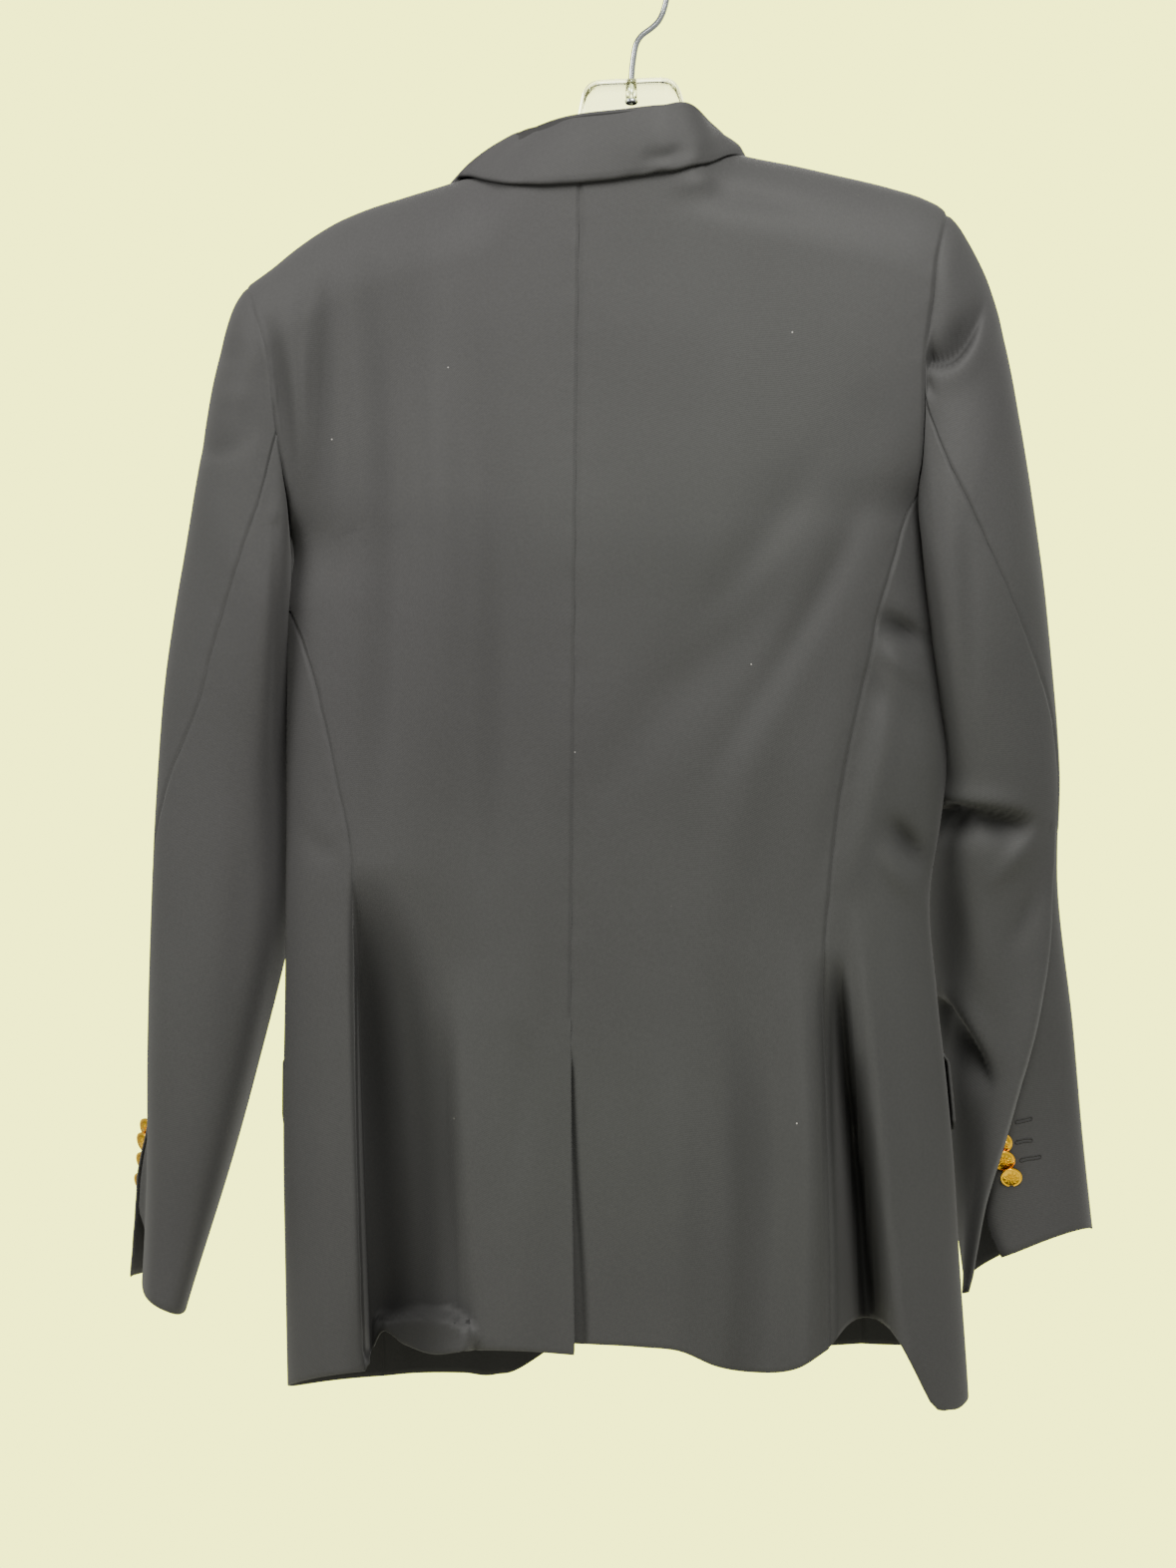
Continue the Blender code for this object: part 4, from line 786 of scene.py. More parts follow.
# ---- Side bodies and fronts ------------------------------------------------------------------
# The side bodies turn round the edges of the garment. The fronts close left over right with two
# metal buttons and are cut away below, with wool facings inside along their edges.
SIDE_FRONT_LEFT = {"z": (-955, -760, -616, -470, -360), "x": (-160, -166, -168, -186, -214)}
SIDE_FRONT_RIGHT = {"z": (-955, -760, -616, -470, -350), "x": (150, 146, 142, 160, 185)}
FRONT_SPLIT_LEFT, FRONT_SPLIT_RIGHT, EDGE_SPLIT = -360.0, -350.0, -372.0
UNDERARM_CURVE = 1.7           # how flat the bottom of the armhole is
UNDERARM_FADE = 6              # how close to the armhole the side body's rows bend to meet it
FRONT_HEM = {
    "side_left":   {"u": (0, .35, .6, 1), "z": (-925, -933, -934.5, -928)},
    "side_right":  {"u": (0, .03, .116, .16, .236, .315, .45, .529, .65, .8, 1),
                    "z": (-909.5, -896, -897.5, -915, -947, -950, -945, -941, -930, -912, -907)},
    "front_left":  {"u": (0, .3, .6, .8, .92, 1), "z": (-928, -926, -926, -927, -921, -900)},
    "front_right": {"u": (0, .3, .6, .8, .92, 1), "z": (-907, -909, -912, -914, -911, -895)},
}
FRONT_EDGE_LEFT = {
    "z": (-928, -915, -900, -860, -800, -700, -600, -560, -500, -400, -300, -200, -146.5),
    "x": (-66, -52, -38, -17, -2, 8, 12, 13, -2, -26, -50.5, -75, -88),
}
FRONT_EDGE_RIGHT = {
    "z": (-928, -915, -900, -860, -800, -700, -600, -560, -500, -400, -300, -200, -134.5),
    "x": (50, 36, 22, 2, -13, -22, -25, -26, -14.5, 4.5, 23.5, 42.5, 55),
}
FRONT_STEP = 9.5               # how much deeper the right front lies where the left one laps it
FRONT_CLEAR = 30.0             # how far beyond the left front's edge it begins to go down
FRONT_ROLL = 21.0              # width over which it does so
FACING = 90.0                  # width of the wool facing inside a front's edge
FRONT_COLUMNS = 70


def front_step(x, z):
    """How much deeper the right front lies where the left one laps over it."""
    clear_of_edge = read(FRONT_EDGE_LEFT, "x", z) + FRONT_CLEAR
    return FRONT_STEP * smooth_step((clear_of_edge - x) / FRONT_ROLL)


def side_body(side, back_seam, front_seam, armhole, back_top, front_top, lowest, count):
    """Points of a side body, from its back seam round the garment's edge to its front seam.

    Its top row follows the armhole, as a power of the way from its lowest point to each seam.
    """
    front = "front_" + side
    u = columns_of(count)
    low_z = armhole["underarm"][1]
    on_back = u < lowest
    climb = np.where(on_back, (lowest - u) / max(lowest, 1e-6), (u - lowest) / (1 - lowest))
    top = low_z + (np.where(on_back, back_top, front_top) - low_z) * climb**UNDERARM_CURVE
    rows = {way: {"z": armhole[way + "_z"], "x": armhole[way + "_x"]} for way in ("back", "front")}
    arm = np.where(on_back, angle_at(read(rows["back"], "x", top), top, "back"),
                   angle_at(read(rows["front"], "x", top), top, front))
    if side == "left":
        arm = np.where(arm > math.pi / 2, arm - 2 * math.pi, arm)
    f = lower_shares()
    bottom = read(FRONT_HEM["side_" + side], "z", u, key="u")
    z = bottom + (top - bottom) * f
    first = angle_at(read(back_seam, "x", z), z, "back")
    last = angle_at(read(front_seam, "x", z), z, front)
    angle = first + (last - first) * u
    angle = angle + (arm - angle[-1:]) * f**UNDERARM_FADE
    return cloth_points(angle, z)


for side, seams, armhole, tops, lowest, count in (
        ("left", (SIDE_BACK_LEFT, SIDE_FRONT_LEFT), ARMHOLE_LEFT,
         (BACK_SPLIT_LEFT, FRONT_SPLIT_LEFT), 0.0, 44),
        ("right", (SIDE_BACK_RIGHT, SIDE_FRONT_RIGHT), ARMHOLE_RIGHT,
         (BACK_SPLIT_RIGHT, FRONT_SPLIT_RIGHT), 0.4, 56)):
    outer, painted_shading = side_body(side, *seams, armhole, *tops, lowest, count)
    armhole_edge["side_" + side] = outer[-1]
    normal = grid_normals(outer, BODY_MIDDLE)
    outer = seam_roll(outer, normal, left=1.1, right=1.0, top=0.8, pucker=0.2, seed=7)
    cloth = lined_shell(f"side_{side}_cloth", outer, normal, painted_shading)
    dressed(cloth, "wool", "side_" + side)

for side, seam, armhole, split, edge, step in (
        ("left", SIDE_FRONT_LEFT, ARMHOLE_LEFT, FRONT_SPLIT_LEFT, FRONT_EDGE_LEFT, None),
        ("right", SIDE_FRONT_RIGHT, ARMHOLE_RIGHT, FRONT_SPLIT_RIGHT, FRONT_EDGE_RIGHT,
         front_step)):
    name = "front_" + side
    u = columns_of(FRONT_COLUMNS)
    outer_edge = side_or_armhole(seam, armhole, "front", name, split)
    angle, z = settle(u, read(FRONT_HEM[name], "z", u, key="u"), split + (EDGE_SPLIT - split) * u,
                      lambda z: (outer_edge(z), angle_at(read(edge, "x", z), z, name)),
                      shoulder_line)
    outer, painted_shading = cloth_points(angle, z, step)
    armhole_edge[name] = outer[LOWER_ROWS:, 0]
    normal = grid_normals(outer, BODY_MIDDLE)
    outer = seam_roll(outer, normal, left=1.1, pucker=0.2, seed=9)
    across = lengths(outer, 1)
    cloth = lined_shell(name + "_cloth", outer, normal, painted_shading,
                        faced_columns=across > across[:, -1:] - FACING)
    dressed(cloth, "wool", name)


# ---- Sleeves ---------------------------------------------------------------------------------
# Two-piece sleeves set into the armholes: a top sleeve in front and an under sleeve behind, sewn
# along the forearm and the hind arm, with a vent and four metal buttons at the cuff.
SLEEVE_BLEND = 0.28            # how far along it the sleeve keeps something of the armhole's form
SLEEVE_ROWS, SLEEVE_COLUMNS = 210, {"top": 72, "under": 64}
# Each ring is a flattened oval between a point on the sleeve's outer edge and one on its inner
# edge; lean turns its near side away from the body, and hind and fore are its seams' angles.
SLEEVE_LEFT = {
    "t":       (0, .05, .12, .22, .33, .44, .54, .64, .74, .84, .93, 1),
    "outer_x": (-249, -258, -269, -279, -287, -294, -299.5, -304.5, -308.5, -311.5, -313, -316.5),
    "outer_z": (-224.5, -240, -280, -338, -395, -445, -492, -560, -625, -716, -800, -868),
    "inner_x": (-221, -220, -219.5, -219, -219, -219, -219, -218.5, -222, -239, -262, -287),
    "inner_z": (-384, -394, -412, -445, -482, -516, -548, -596, -642, -716, -802, -880),
    "half_y":  (40, 40, 42, 46, 50, 53, 54, 55, 55, 55, 54, 53),
    "mid_y":   (0, 1, 6, 16, 24, 30, 34, 36, 37, 36, 34, 32),
    "tilt":    (0, 0, 0, 0, 0, 0, 0, 2, 4, 7, 10, 12),
    "lean":    (0, 2, 7, 15, 21, 23, 22, 18, 12, 8, 4, 0),
    "hind":    (100, 100, 101, 97, 93, 88, 80, 48, 12, -4, -12, -14),
    "fore":    (214, 214, 214, 216, 218, 220, 222, 222, 222, 220, 216, 214),
}
SLEEVE_RIGHT = {
    "t":       (0, .05, .12, .22, .33, .44, .54, .64, .74, .84, .93, 1),
    "outer_x": (204.5, 213, 229, 242, 251.5, 261, 268.5, 274.5, 273, 284, 292, 298.5),
    "outer_z": (-177, -187, -217, -262, -312, -376, -440, -534, -612, -700, -775, -833),
    "inner_x": (189, 187.5, 188, 190, 193.5, 198, 201, 198.5, 195, 200, 206.5, 215.5),
    "inner_z": (-366, -377, -396, -424, -456, -496, -530, -566, -634, -718, -800, -871),
    "half_y":  (40, 40, 42, 46, 50, 52, 53, 52, 50, 48, 45, 44),
    "mid_y":   (0, 0, 2, 6, 10, 14, 19, 26, 40, 52, 55, 55),
    "tilt":    (0, 0, 0, 0, 0, 0, 0, 1, 3, 6, 9, 11),
    "lean":    (0, 0, 4, 8, 10, 11, 12, 14, 16, 14, 10, 5),
    "hind":    (104, 104, 104, 99, 91, 79, 65, 38, 58, 91, 119, 146),
    "fore":    (214, 214, 214, 216, 218, 221, 225, 230, 238, 248, 260, 275),
}
ARM_CREASES = {
    # each row as for the body: the line's points, width left, right, depth, how full at its ends
    "left near": (
        ((-280, -262), (-262, -268), (-246, -262), 7, 9, -1.6, 0.4, 0.2),
        ((-286, -322), (-266, -328), (-246, -316), 8, 10, -2.2, 0.4, 0.3),
        ((-268, -292), (-256, -296), (-242, -290), 7, 7, 1.4, 0.2, 0.2),
        ((-236, -372), (-240, -470), (-248, -620), 9, 9, 2.2, 0.1, 0.0),
        ((-229, -380), (-229, -480), (-232, -600), 5, 8, -2.8, 0.4, 0.0),
        ((-262, -480), (-268, -640), (-286, -800), 14, 15, 2.4, 0.0, 0.0),
        ((-250, -520), (-255, -640), (-268, -760), 10, 12, -2.4, 0.0, 0.0),
        ((-300, -640), (-299, -700), (-304, -760), 8, 10, 1.4, 0.0, 0.0),
        ((-296, -790), (-294, -840), (-300, -884), 7, 9, -1.4, 0.0, 0.3)),
    "left far": (
        ((-286, -500), (-262, -548), (-232, -566), 7, 10, -4.5, 0.2, 0.5),
        ((-290, -560), (-264, -580), (-236, -600), 9, 9, 3.0, 0.2, 0.3),
        ((-292, -596), (-268, -626), (-240, -640), 8, 9, -3.0, 0.0, 0.2),
        ((-262, -300), (-256, -400), (-262, -480), 12, 12, -2.0, 0.0, 0.0)),
    "right near": (
        ((191, -271), (214, -262), (229, -221), 4, 10, -8.5, 1.0, 0.0),
        ((195, -283), (220, -272), (236, -238), 9, 7, 2.6, 0.2, 0.0),
        ((219, -240), (211, -250), (201, -257), 4, 4, -3.0, 0.0, 0.1),
        ((190, -276), (192, -287), (198, -298), 4, 3, -2.4, 0.6, 0.0),
        ((233, -230), (236, -244), (236, -260), 4, 5, 1.5, 0.0, 0.0),
        ((206, -563), (236, -567), (262, -571), 14, 3.5, -12.0, 1.0, 0.1),
        ((207, -555), (236, -559), (258, -564), 3.5, 9, 3.0, 0.8, 0.0),
        ((264, -573), (250, -592), (230, -614), 6, 7, 3.2, 0.2, 0.0),
        ((263, -599), (256, -628), (242, -660), 7, 8, -2.4, 0.1, 0.0),
        ((203, -596), (210, -640), (214, -680), 8, 9, -3.0, 0.2, 0.2),
        ((228, -620), (238, -680), (250, -740), 12, 12, 2.0, 0.0, 0.0),
        ((201, -690), (217, -713), (237, -745), 14, 3.5, -9.5, 1.0, 0.0),
        ((206, -684), (224, -707), (243, -738), 3.5, 10, 3.0, 0.6, 0.0),
        ((216, -752), (222, -805), (228, -865), 9, 12, -3.0, 0.1, 0.6),
        ((243, -300), (250, -400), (246, -520), 15, 15, 1.8, 0.0, 0.0),
        ((214, -330), (216, -430), (219, -540), 8, 10, -2.2, 0.0, 0.1),
        ((272, -690), (280, -760), (286, -830), 9, 9, -1.4, 0.0, 0.3)),
    "right far": (
        ((250, -470), (232, -530), (208, -556), 8, 9, -4.5, 0.2, 0.5),
        ((262, -540), (240, -566), (212, -590), 9, 9, 3.0, 0.2, 0.3),
        ((266, -590), (246, -612), (216, -630), 8, 9, -3.4, 0.0, 0.2),
        ((226, -260), (222, -360), (236, -460), 12, 12, -2.0, 0.0, 0.0)),
}


def armhole_ring(back, side, front, armhole):
    """The armhole's edge as points, and each point's angle round it from the shoulder."""
    points = np.concatenate([back[::-1], side[1:-1], front])
    drop = (armhole["shoulder"][1] - points[:, 2]) / (
        armhole["shoulder"][1] - armhole["underarm"][1])
    turn = np.arccos(np.clip(1 - 2 * drop, -1, 1))
    lowest = np.argmax(turn)
    turn[lowest + 1:] = 2 * math.pi - turn[lowest + 1:]
    turn[0], turn[-1] = 0.0, 2 * math.pi
    return np.maximum.accumulate(turn), points


def sleeve_oval(table, t, turn):
    """Points of a sleeve's rings: flattened ovals between the outer and the inner edge."""
    outer = np.stack([read(table, "outer_x", t, "t"), read(table, "outer_z", t, "t")], -1)
    inner = np.stack([read(table, "inner_x", t, "t"), read(table, "inner_z", t, "t")], -1)
    along, deep = oval_deep(turn), oval_across(turn)
    lean = np.radians(read(table, "lean", t, "t"))
    half_x = np.linalg.norm(outer - inner, axis=-1) / 2
    half_y = read(table, "half_y", t, "t")
    away = half_x * along * np.cos(lean) + half_y * deep * np.sin(lean)
    nearer = half_y * deep * np.cos(lean) - half_x * along * np.sin(lean)
    flat = (outer + inner) / 2 + (outer - inner) / 2 * (away / half_x)[..., None]
    y = read(table, "mid_y", t, "t") - nearer
    return np.stack([flat[..., 0], y, flat[..., 1] - read(table, "tilt", t, "t") * deep], -1)


def sleeve_surface(side, table, ring):
    """The sleeve as a function of place along it and angle round it, from the armhole down.

    Near the armhole its flattened ovals take on the armhole's form. The creases push it along
    the way out from its middle, the near ones on the side that faces the eye.
    """
    turn_at = np.concatenate([ring[0][:-1] - 2 * math.pi, ring[0]])
    points = np.concatenate([ring[1][:-1], ring[1]])

    def surface(t, turn):
        """Points at t along and turn round the sleeve, the ways out there and the shadow."""
        base = sleeve_oval(table, t, turn)
        held = (1 - smooth_step(t / SLEEVE_BLEND))[..., None]
        seam = np.stack([np.interp(turn, turn_at, points[:, k]) for k in range(3)], -1)
        place = base + held * (seam - sleeve_oval(table, np.zeros_like(t), turn))
        edges = (np.zeros_like(t), np.full_like(t, math.pi))
        out = unit(place - sum(sleeve_oval(table, t, edge) for edge in edges) / 2)
        near = smooth_step(0.5 - 1.6 * out[..., 1])
        x, z = place[..., 0], place[..., 2]
        push = (near * crease_push(x, z, ARM_CREASES[side + " near"])
                + (1 - near) * crease_push(x, z, ARM_CREASES[side + " far"]))
        # painted shade in the sleeve's creases
        painted_shading = painted_shade_of(push * 1.3)
        push = push + UNEVEN * ripple(x, z, seed=5 if side == "left" else 6, size=24,
                                      stretch=2.6)
        return place + out * (push * smooth_step(t / 0.03))[..., None], out, painted_shading
    return surface


SLEEVE_VENT = {
    # t: where the vent starts; gape: how far the top sleeve draws back from it, in degrees; peel:
    # how far its edge stands off; cut: how much shorter its cuff is; press: how far the under
    # sleeve's edge stands over it; lap: how far the under sleeve lies off inside the vent
    "left": {"t": 0.885, "gape": 0.0, "peel": 8.0, "cut": 0.004, "press": 0.0, "lap": 5.5},
    "right": {"t": 0.947, "gape": 34.0, "peel": 1.5, "cut": 0.018, "press": 9.5, "lap": 0.0},
}
PEEL_WIDTH, PRESS_WIDTH, LAP_WIDTH = 13.0, 17.0, 8.0
PRESS_FROM = 0.64              # where along the sleeve the pressed edge begins to stand off
PRESS_TURN = 5.0               # degrees by which it reaches over the seam
LAP_END = 0.972                # where along the sleeve the lap inside the vent ends
PRESSED_EDGE_HIGHLIGHT, VENT_LIGHT = 1.1, 0.9        # painted highlights: how much lighter the pressed edge and the vent's facing are painted
VENT_FACING = 34.0             # width of the wool facing inside the vent
VENT_SHOWS = 16.0              # width of it painted lighter, as if it caught the light


def sleeve_cloth(side, part, surface, table):
    """One of a sleeve's two pieces, from its cuff up to the armhole, between its two seams.

    At the cuff, bell curves across the cloth lift its edge off, each along its own soft step.
    """
    vent = SLEEVE_VENT[side]
    is_top = part == "top"
    count = SLEEVE_COLUMNS[part]
    u = columns_of(count)
    down = np.linspace(1, 0, SLEEVE_ROWS + 1)[:, None]
    t = down * np.ones_like(u)
    for _ in range(2):
        opened = smooth_step((t - vent["t"]) / (1 - vent["t"]))
        if is_top:
            start = np.radians(read(table, "fore", t, "t") - 360.0)
            end = np.radians(read(table, "hind", t, "t") - vent["gape"] * opened)
        else:
            pressed = smooth_step((t - PRESS_FROM) / 0.2) * (vent["press"] > 0)
            start = np.radians(read(table, "hind", t, "t") - PRESS_TURN * pressed)
            end = np.radians(read(table, "fore", t, "t"))
        turn = start + (end - start) * u
        if is_top:
            t = down * (1 - vent["cut"] * np.sin(np.clip(turn, 0, math.pi / 2)))
    outer, out, painted_shading = surface(t, turn)
    normal = unit(np.cross(np.gradient(outer, axis=1), np.gradient(outer, axis=0)))
    normal *= np.sign(np.median((normal * out).sum(-1)))
    sewn = smooth_step((vent["t"] - t[:, :1]) / 0.012)
    across = lengths(outer, 1)
    beside = across[:, -1:] - across
    if is_top:
        lift = vent["peel"] * smooth_step((t - vent["t"] + 0.01) / 0.06) * np.exp(
            -(beside / PEEL_WIDTH) ** 2)
        rolls = {"left": 1.0, "right": 1.0 * sewn}
        if vent["press"]:
            # painted shadow on the top sleeve under the under sleeve's pressed edge
            under_edge_shade = smooth_step((t - PRESS_FROM - 0.02) / 0.2) * np.exp(-(beside / 5) ** 2)
            painted_shading = np.maximum(painted_shading, 0.75 * under_edge_shade)
    else:
        lift = vent["press"] * pressed * np.exp(-(across / PRESS_WIDTH) ** 2)
        lap = smooth_step((t - vent["t"]) / 0.05) * smooth_step((LAP_END - t) / 0.02)
        lift = lift + vent["lap"] * lap * np.exp(-(across / LAP_WIDTH) ** 2)
        rolls = {"left": 1.0 * sewn * (1 - pressed[:, :1]), "right": 1.0}
        # painted highlight along the under sleeve's pressed edge
        painted_shading = painted_shading - PRESSED_EDGE_HIGHLIGHT * pressed * np.exp(-(across / 1.4) ** 2)
    outer = outer + normal * lift[..., None]
    outer = seam_roll(outer, normal, top=1.2, pucker=0.16, seed=11 + count, **rolls)
    faced = (beside < VENT_FACING) & (t > vent["t"] - 0.01) & is_top
    # painted light on the left vent's facing, as if it caught the light
    if side == "left":
        painted_shading = np.where(faced & (beside < VENT_SHOWS), -VENT_LIGHT, painted_shading)
    cloth = lined_shell(f"{part}_sleeve_{side}_cloth", outer, normal, painted_shading, faced_columns=faced)
    dressed(cloth, "wool", f"{part}_sleeve_{side}")
    return outer, normal


cuffs = {}
for side, table, armhole in (("left", SLEEVE_LEFT, ARMHOLE_LEFT),
                             ("right", SLEEVE_RIGHT, ARMHOLE_RIGHT)):
    ring = armhole_ring(armhole_edge["back_" + side], armhole_edge["side_" + side],
                        armhole_edge["front_" + side], armhole)
    surface = sleeve_surface(side, table, ring)
    cuffs[side] = surface, sleeve_cloth(side, "top", surface, table)
    sleeve_cloth(side, "under", surface, table)


# ---- Lapels, flaps and collar ----------------------------------------------------------------
# Notched lapels folded back on the fronts, two pocket flaps and the collar, which stands up from
# the neck seam, turns over a soft fold and falls on the back. All are wool on both sides.
LAPEL_LIFT = 5.2               # how far a lapel lies off the front
LAPEL_ROLL_LIFT = {"left": 2.7, "right": 4.8}      # the same at the front's edge, where it rolls
LAPEL_BULGE, BULGE_AT = 3.4, 9.0         # height of the roll's bulge, and how far in it lies
GORGE_Z, POINT_Z, LAPEL_FOOT = -208.8, -227.0, -550.0
LAPEL_LEFT = {"z": (-550, -500, -400, -300, -240, -226), "x": (9, -34, -86, -130, -158, -162)}
LAPEL_RIGHT = {"z": (-550, -500, -400, -300, -240, -226), "x": (-22, 16, 64, 106, 131, 135)}
FLAP_HEIGHT, FLAP_TOP, FLAP_LIFT = 50.0, -720.0, 3.6
FLAP_ENDS = {"left": (-222.5, -75.0), "right": (203.0, 62.0)}
COLLAR = {
    "s":       (0, .09, .15, .19, .22, .31, .40, .50, .60, .68, .725, .76, .79, .84, .90, 1),
    "fold_x":  (-71, -79, -83, -82, -79, -60, -37, -3, 20, 38, 48, 56, 55, 51, 45, 38),
    "fold_y":  (50, 48, 41, 25, 3, -24, -33, -37, -35, -27, -14, 3, 23, 39, 46, 50),
    "fold_z":  (-205, -178, -156, -140, -131.5, -121, -113.5, -109, -106.4, -106, -115, -124, -131,
                -143, -165, -203),
    "fall_x":  (-118, -127, -127, -122, -116, -93, -66, -22, 14, 42, 59, 73, 78, 82, 89, 97),
    "fall_z":  (-209, -192, -177, -163, -156.5, -157, -157.5, -155, -150, -145.5, -142.3,
                -139.3, -150, -166, -184, -207),
    "stand_x": (-68, -75, -81, -84, -86, -72, -45, -8, 15, 31, 43, 53, 51.5, 48, 43, 35),
    "stand_z": (-211, -184, -163, -151, -145.4, -146.7, -146.5, -145, -143.5, -141.5, -139,
                -133.9, -139, -151, -170, -209),
}
COLLAR_ROUND = 3.2             # radius of the fold
COLLAR_LIFT = 4.6              # how far the fall's edge lies off the cloth below
COLLAR_SWELL = 2.5             # how far the fall swells between the fold and its edge
COLLAR_UNDER = 2.0             # how far the stand lies under the fronts
COLLAR_HUG = (0.205, 0.775)    # where the fall lies close on the shoulders
COLLAR_COLUMNS = 170
NECK_SIDES = (0.22, 0.76)      # where the collar passes from the front to the back, and back
LAPEL_THICK, FLAP_THICK, COLLAR_THICK = 1.8, 1.6, 2.3


def on_cloth(angle, z, lift, step=None):
    """Points that lie off the body's cloth by a lift, and the cloth's normals there."""
    angle, z = np.broadcast_arrays(np.asarray(angle, float), np.asarray(z, float))
    across = cloth_points(angle + 2e-3, z, step)[0] - cloth_points(angle - 2e-3, z, step)[0]
    up = cloth_points(angle, z + 0.4, step)[0] - cloth_points(angle, z - 0.4, step)[0]
    normal = unit(np.cross(across, up))
    away = np.stack([np.sin(angle), -np.cos(angle)], -1)
    normal *= np.sign((normal[..., :2] * away).sum(-1, keepdims=True))
    return cloth_points(angle, z, step)[0] + normal * np.asarray(lift, float)[..., None], normal


def fold_back(side, edge, outline, step):
    """A lapel: a bulging roll at the front's edge, then flat on the front out to its point."""
    name = "front_" + side
    u = np.linspace(0, 1, 61)[None, :] ** 1.4
    v = np.linspace(0, 1, 121)[:, None]
    z = LAPEL_FOOT + (GORGE_Z + (POINT_Z - GORGE_Z) * u**2 - LAPEL_FOOT) * v
    roll = read(edge, "x", z)
    width = read(outline, "x", z) - roll
    x = roll + width * u
    from_roll = u * np.abs(width)
    lift = LAPEL_ROLL_LIFT[side] + (LAPEL_LIFT - LAPEL_ROLL_LIFT[side]) * smooth_step(u)
    lift = lift + LAPEL_BULGE * smooth_step((v - 0.02) / 0.3) * np.exp(
        -((from_roll - BULGE_AT) / BULGE_AT) ** 2)
    lift = lift * np.sqrt(1 - (1 - np.clip(from_roll / 3.0, 0, 1)) ** 2)
    lift = lift + 0.5 * ripple(x, z, seed=8, size=22, stretch=1.6)
    return on_cloth(angle_at(x, z, name), z, lift, step)


for side, edge, outline, step in (("left", FRONT_EDGE_LEFT, LAPEL_LEFT, None),
                                  ("right", FRONT_EDGE_RIGHT, LAPEL_RIGHT, front_step)):
    outer, normal = fold_back(side, edge, outline, step)
    outer = seam_roll(outer, normal, right=0.5, top=0.5, width=2.2)
    cloth = shell(f"lapel_{side}_cloth", true_place(outer),
                  true_place(outer - normal * LAPEL_THICK), (wool, wool))
    dressed(cloth, "wool", "lapel_" + side)

for side, ends in FLAP_ENDS.items():
    u = np.linspace(0, 1, 61)[None, :]
    v = np.linspace(0, 1, 25)[:, None]
    corner = 1 - 0.14 * (2 * np.abs(u - 0.5)) ** 8           # rounds its lower corners
    z = FLAP_TOP - FLAP_HEIGHT * corner * (1 - v)
    first, last = (angle_at(end, FLAP_TOP, "front_" + side) for end in ends)
    lift = FLAP_LIFT * (1 - 0.75 * smooth_step((v - 0.86) / 0.14))
    lift = lift + 0.3 * ripple(600 * u + 0 * v, z, seed=9, size=20, stretch=1.2)
    outer, normal = on_cloth(first + (last - first) * u + 0 * z, z, lift,
                             front_step if side == "right" else None)
    outer = seam_roll(outer, normal, left=0.5, right=0.5, low=0.5, width=2.0)
    cloth = shell(f"flap_{side}_cloth", true_place(outer),
                  true_place(outer - normal * FLAP_THICK), (wool, wool))
    dressed(cloth, "wool", "flap_" + side)


def collar_points():
    """The collar's outer face carried along its fold: the stand, half a turn, and the fall."""
    s = np.linspace(0, 1, COLLAR_COLUMNS + 1)
    fold = np.stack([read(COLLAR, "fold_" + axis, s, "s") for axis in "xyz"], -1)
    layers = np.where(s < NECK_SIDES[0], 0, np.where(s > NECK_SIDES[1], 2, 1))
    fall, stand = np.zeros_like(fold), np.zeros_like(fold)
    hug = sum(np.exp(-((s - at) / 0.045) ** 2) for at in COLLAR_HUG)
    for edge, column, lift in ((fall, "fall", COLLAR_LIFT * (1 - 0.8 * hug)),
                               (stand, "stand", 0 * s)):
        x, z = read(COLLAR, column + "_x", s, "s"), read(COLLAR, column + "_z", s, "s")
        for index, layer in enumerate(("front_left", "back", "front_right")):
            here = layers == index
            down = COLLAR_UNDER if column == "stand" and layer != "back" else 0.0
            seat = np.minimum(z[here], shoulder_line(x[here]) - 0.05)
            edge[here] = on_cloth(angle_at(x[here], seat, layer), seat, lift[here] - down)[0]
    for edge in (fall, stand):
        for _ in range(4):
            edge[1:-1] = (edge[:-2] + 2 * edge[1:-1] + edge[2:]) / 4
    up = unit(fold - (fall + stand) / 2)
    across = fall - stand
    away = unit(across - (across * up).sum(-1, keepdims=True) * up)
    centre = fold - COLLAR_ROUND * up
    turn = np.linspace(-math.pi / 2, math.pi / 2, 13)[:, None, None]
    bend = centre + COLLAR_ROUND * (np.sin(turn) * away + np.cos(turn) * up)
    rise = np.linspace(0, 1, 12)[:-1, None, None]
    down = np.linspace(0, 1, 27)[1:, None, None]
    swell = COLLAR_SWELL * np.sin(math.pi * down) * away
    standing = stand + (bend[0] - stand) * rise
    falling = bend[-1] + (fall - bend[-1]) * down + swell
    outer = np.concatenate([standing, bend, falling])
    # small puckers above the fall's lower edge, most of them on the right, and one dent there
    x, low = falling[..., 0], down[..., 0]
    puckers = 0.45 + 0.55 * smooth_step((x + 20) / 50)
    push = 1.1 * puckers * smooth_step((low - 0.35) / 0.5) * (
        np.sin(x / 4.6 + 3 * low) * np.sin(x / 13.0 + 1.0) + 0.5 * np.sin(x / 7.9))
    push = push - 2.0 * np.exp(-(((x - 24) / 15) ** 2 + ((low - 0.78) / 0.13) ** 2))
    push = push + 0.8 * ripple(x, falling[..., 2], seed=12, size=18, stretch=0.8)
    push = push * smooth_step((1 - low) / 0.08 + 0.35)
    outer[-len(falling):] += push[..., None] * away
    normal = unit(np.cross(np.gradient(outer, axis=1), np.gradient(outer, axis=0)))
    return outer, normal * np.sign((normal[-3] * away).sum(-1).mean())


outer, normal = collar_points()
outer = seam_roll(outer, normal, left=0.6, right=0.6, top=0.7, width=2.2)
collar = shell("collar_cloth", true_place(outer), true_place(outer - normal * COLLAR_THICK),
               (wool, wool))
dressed(collar, "wool", "collar")


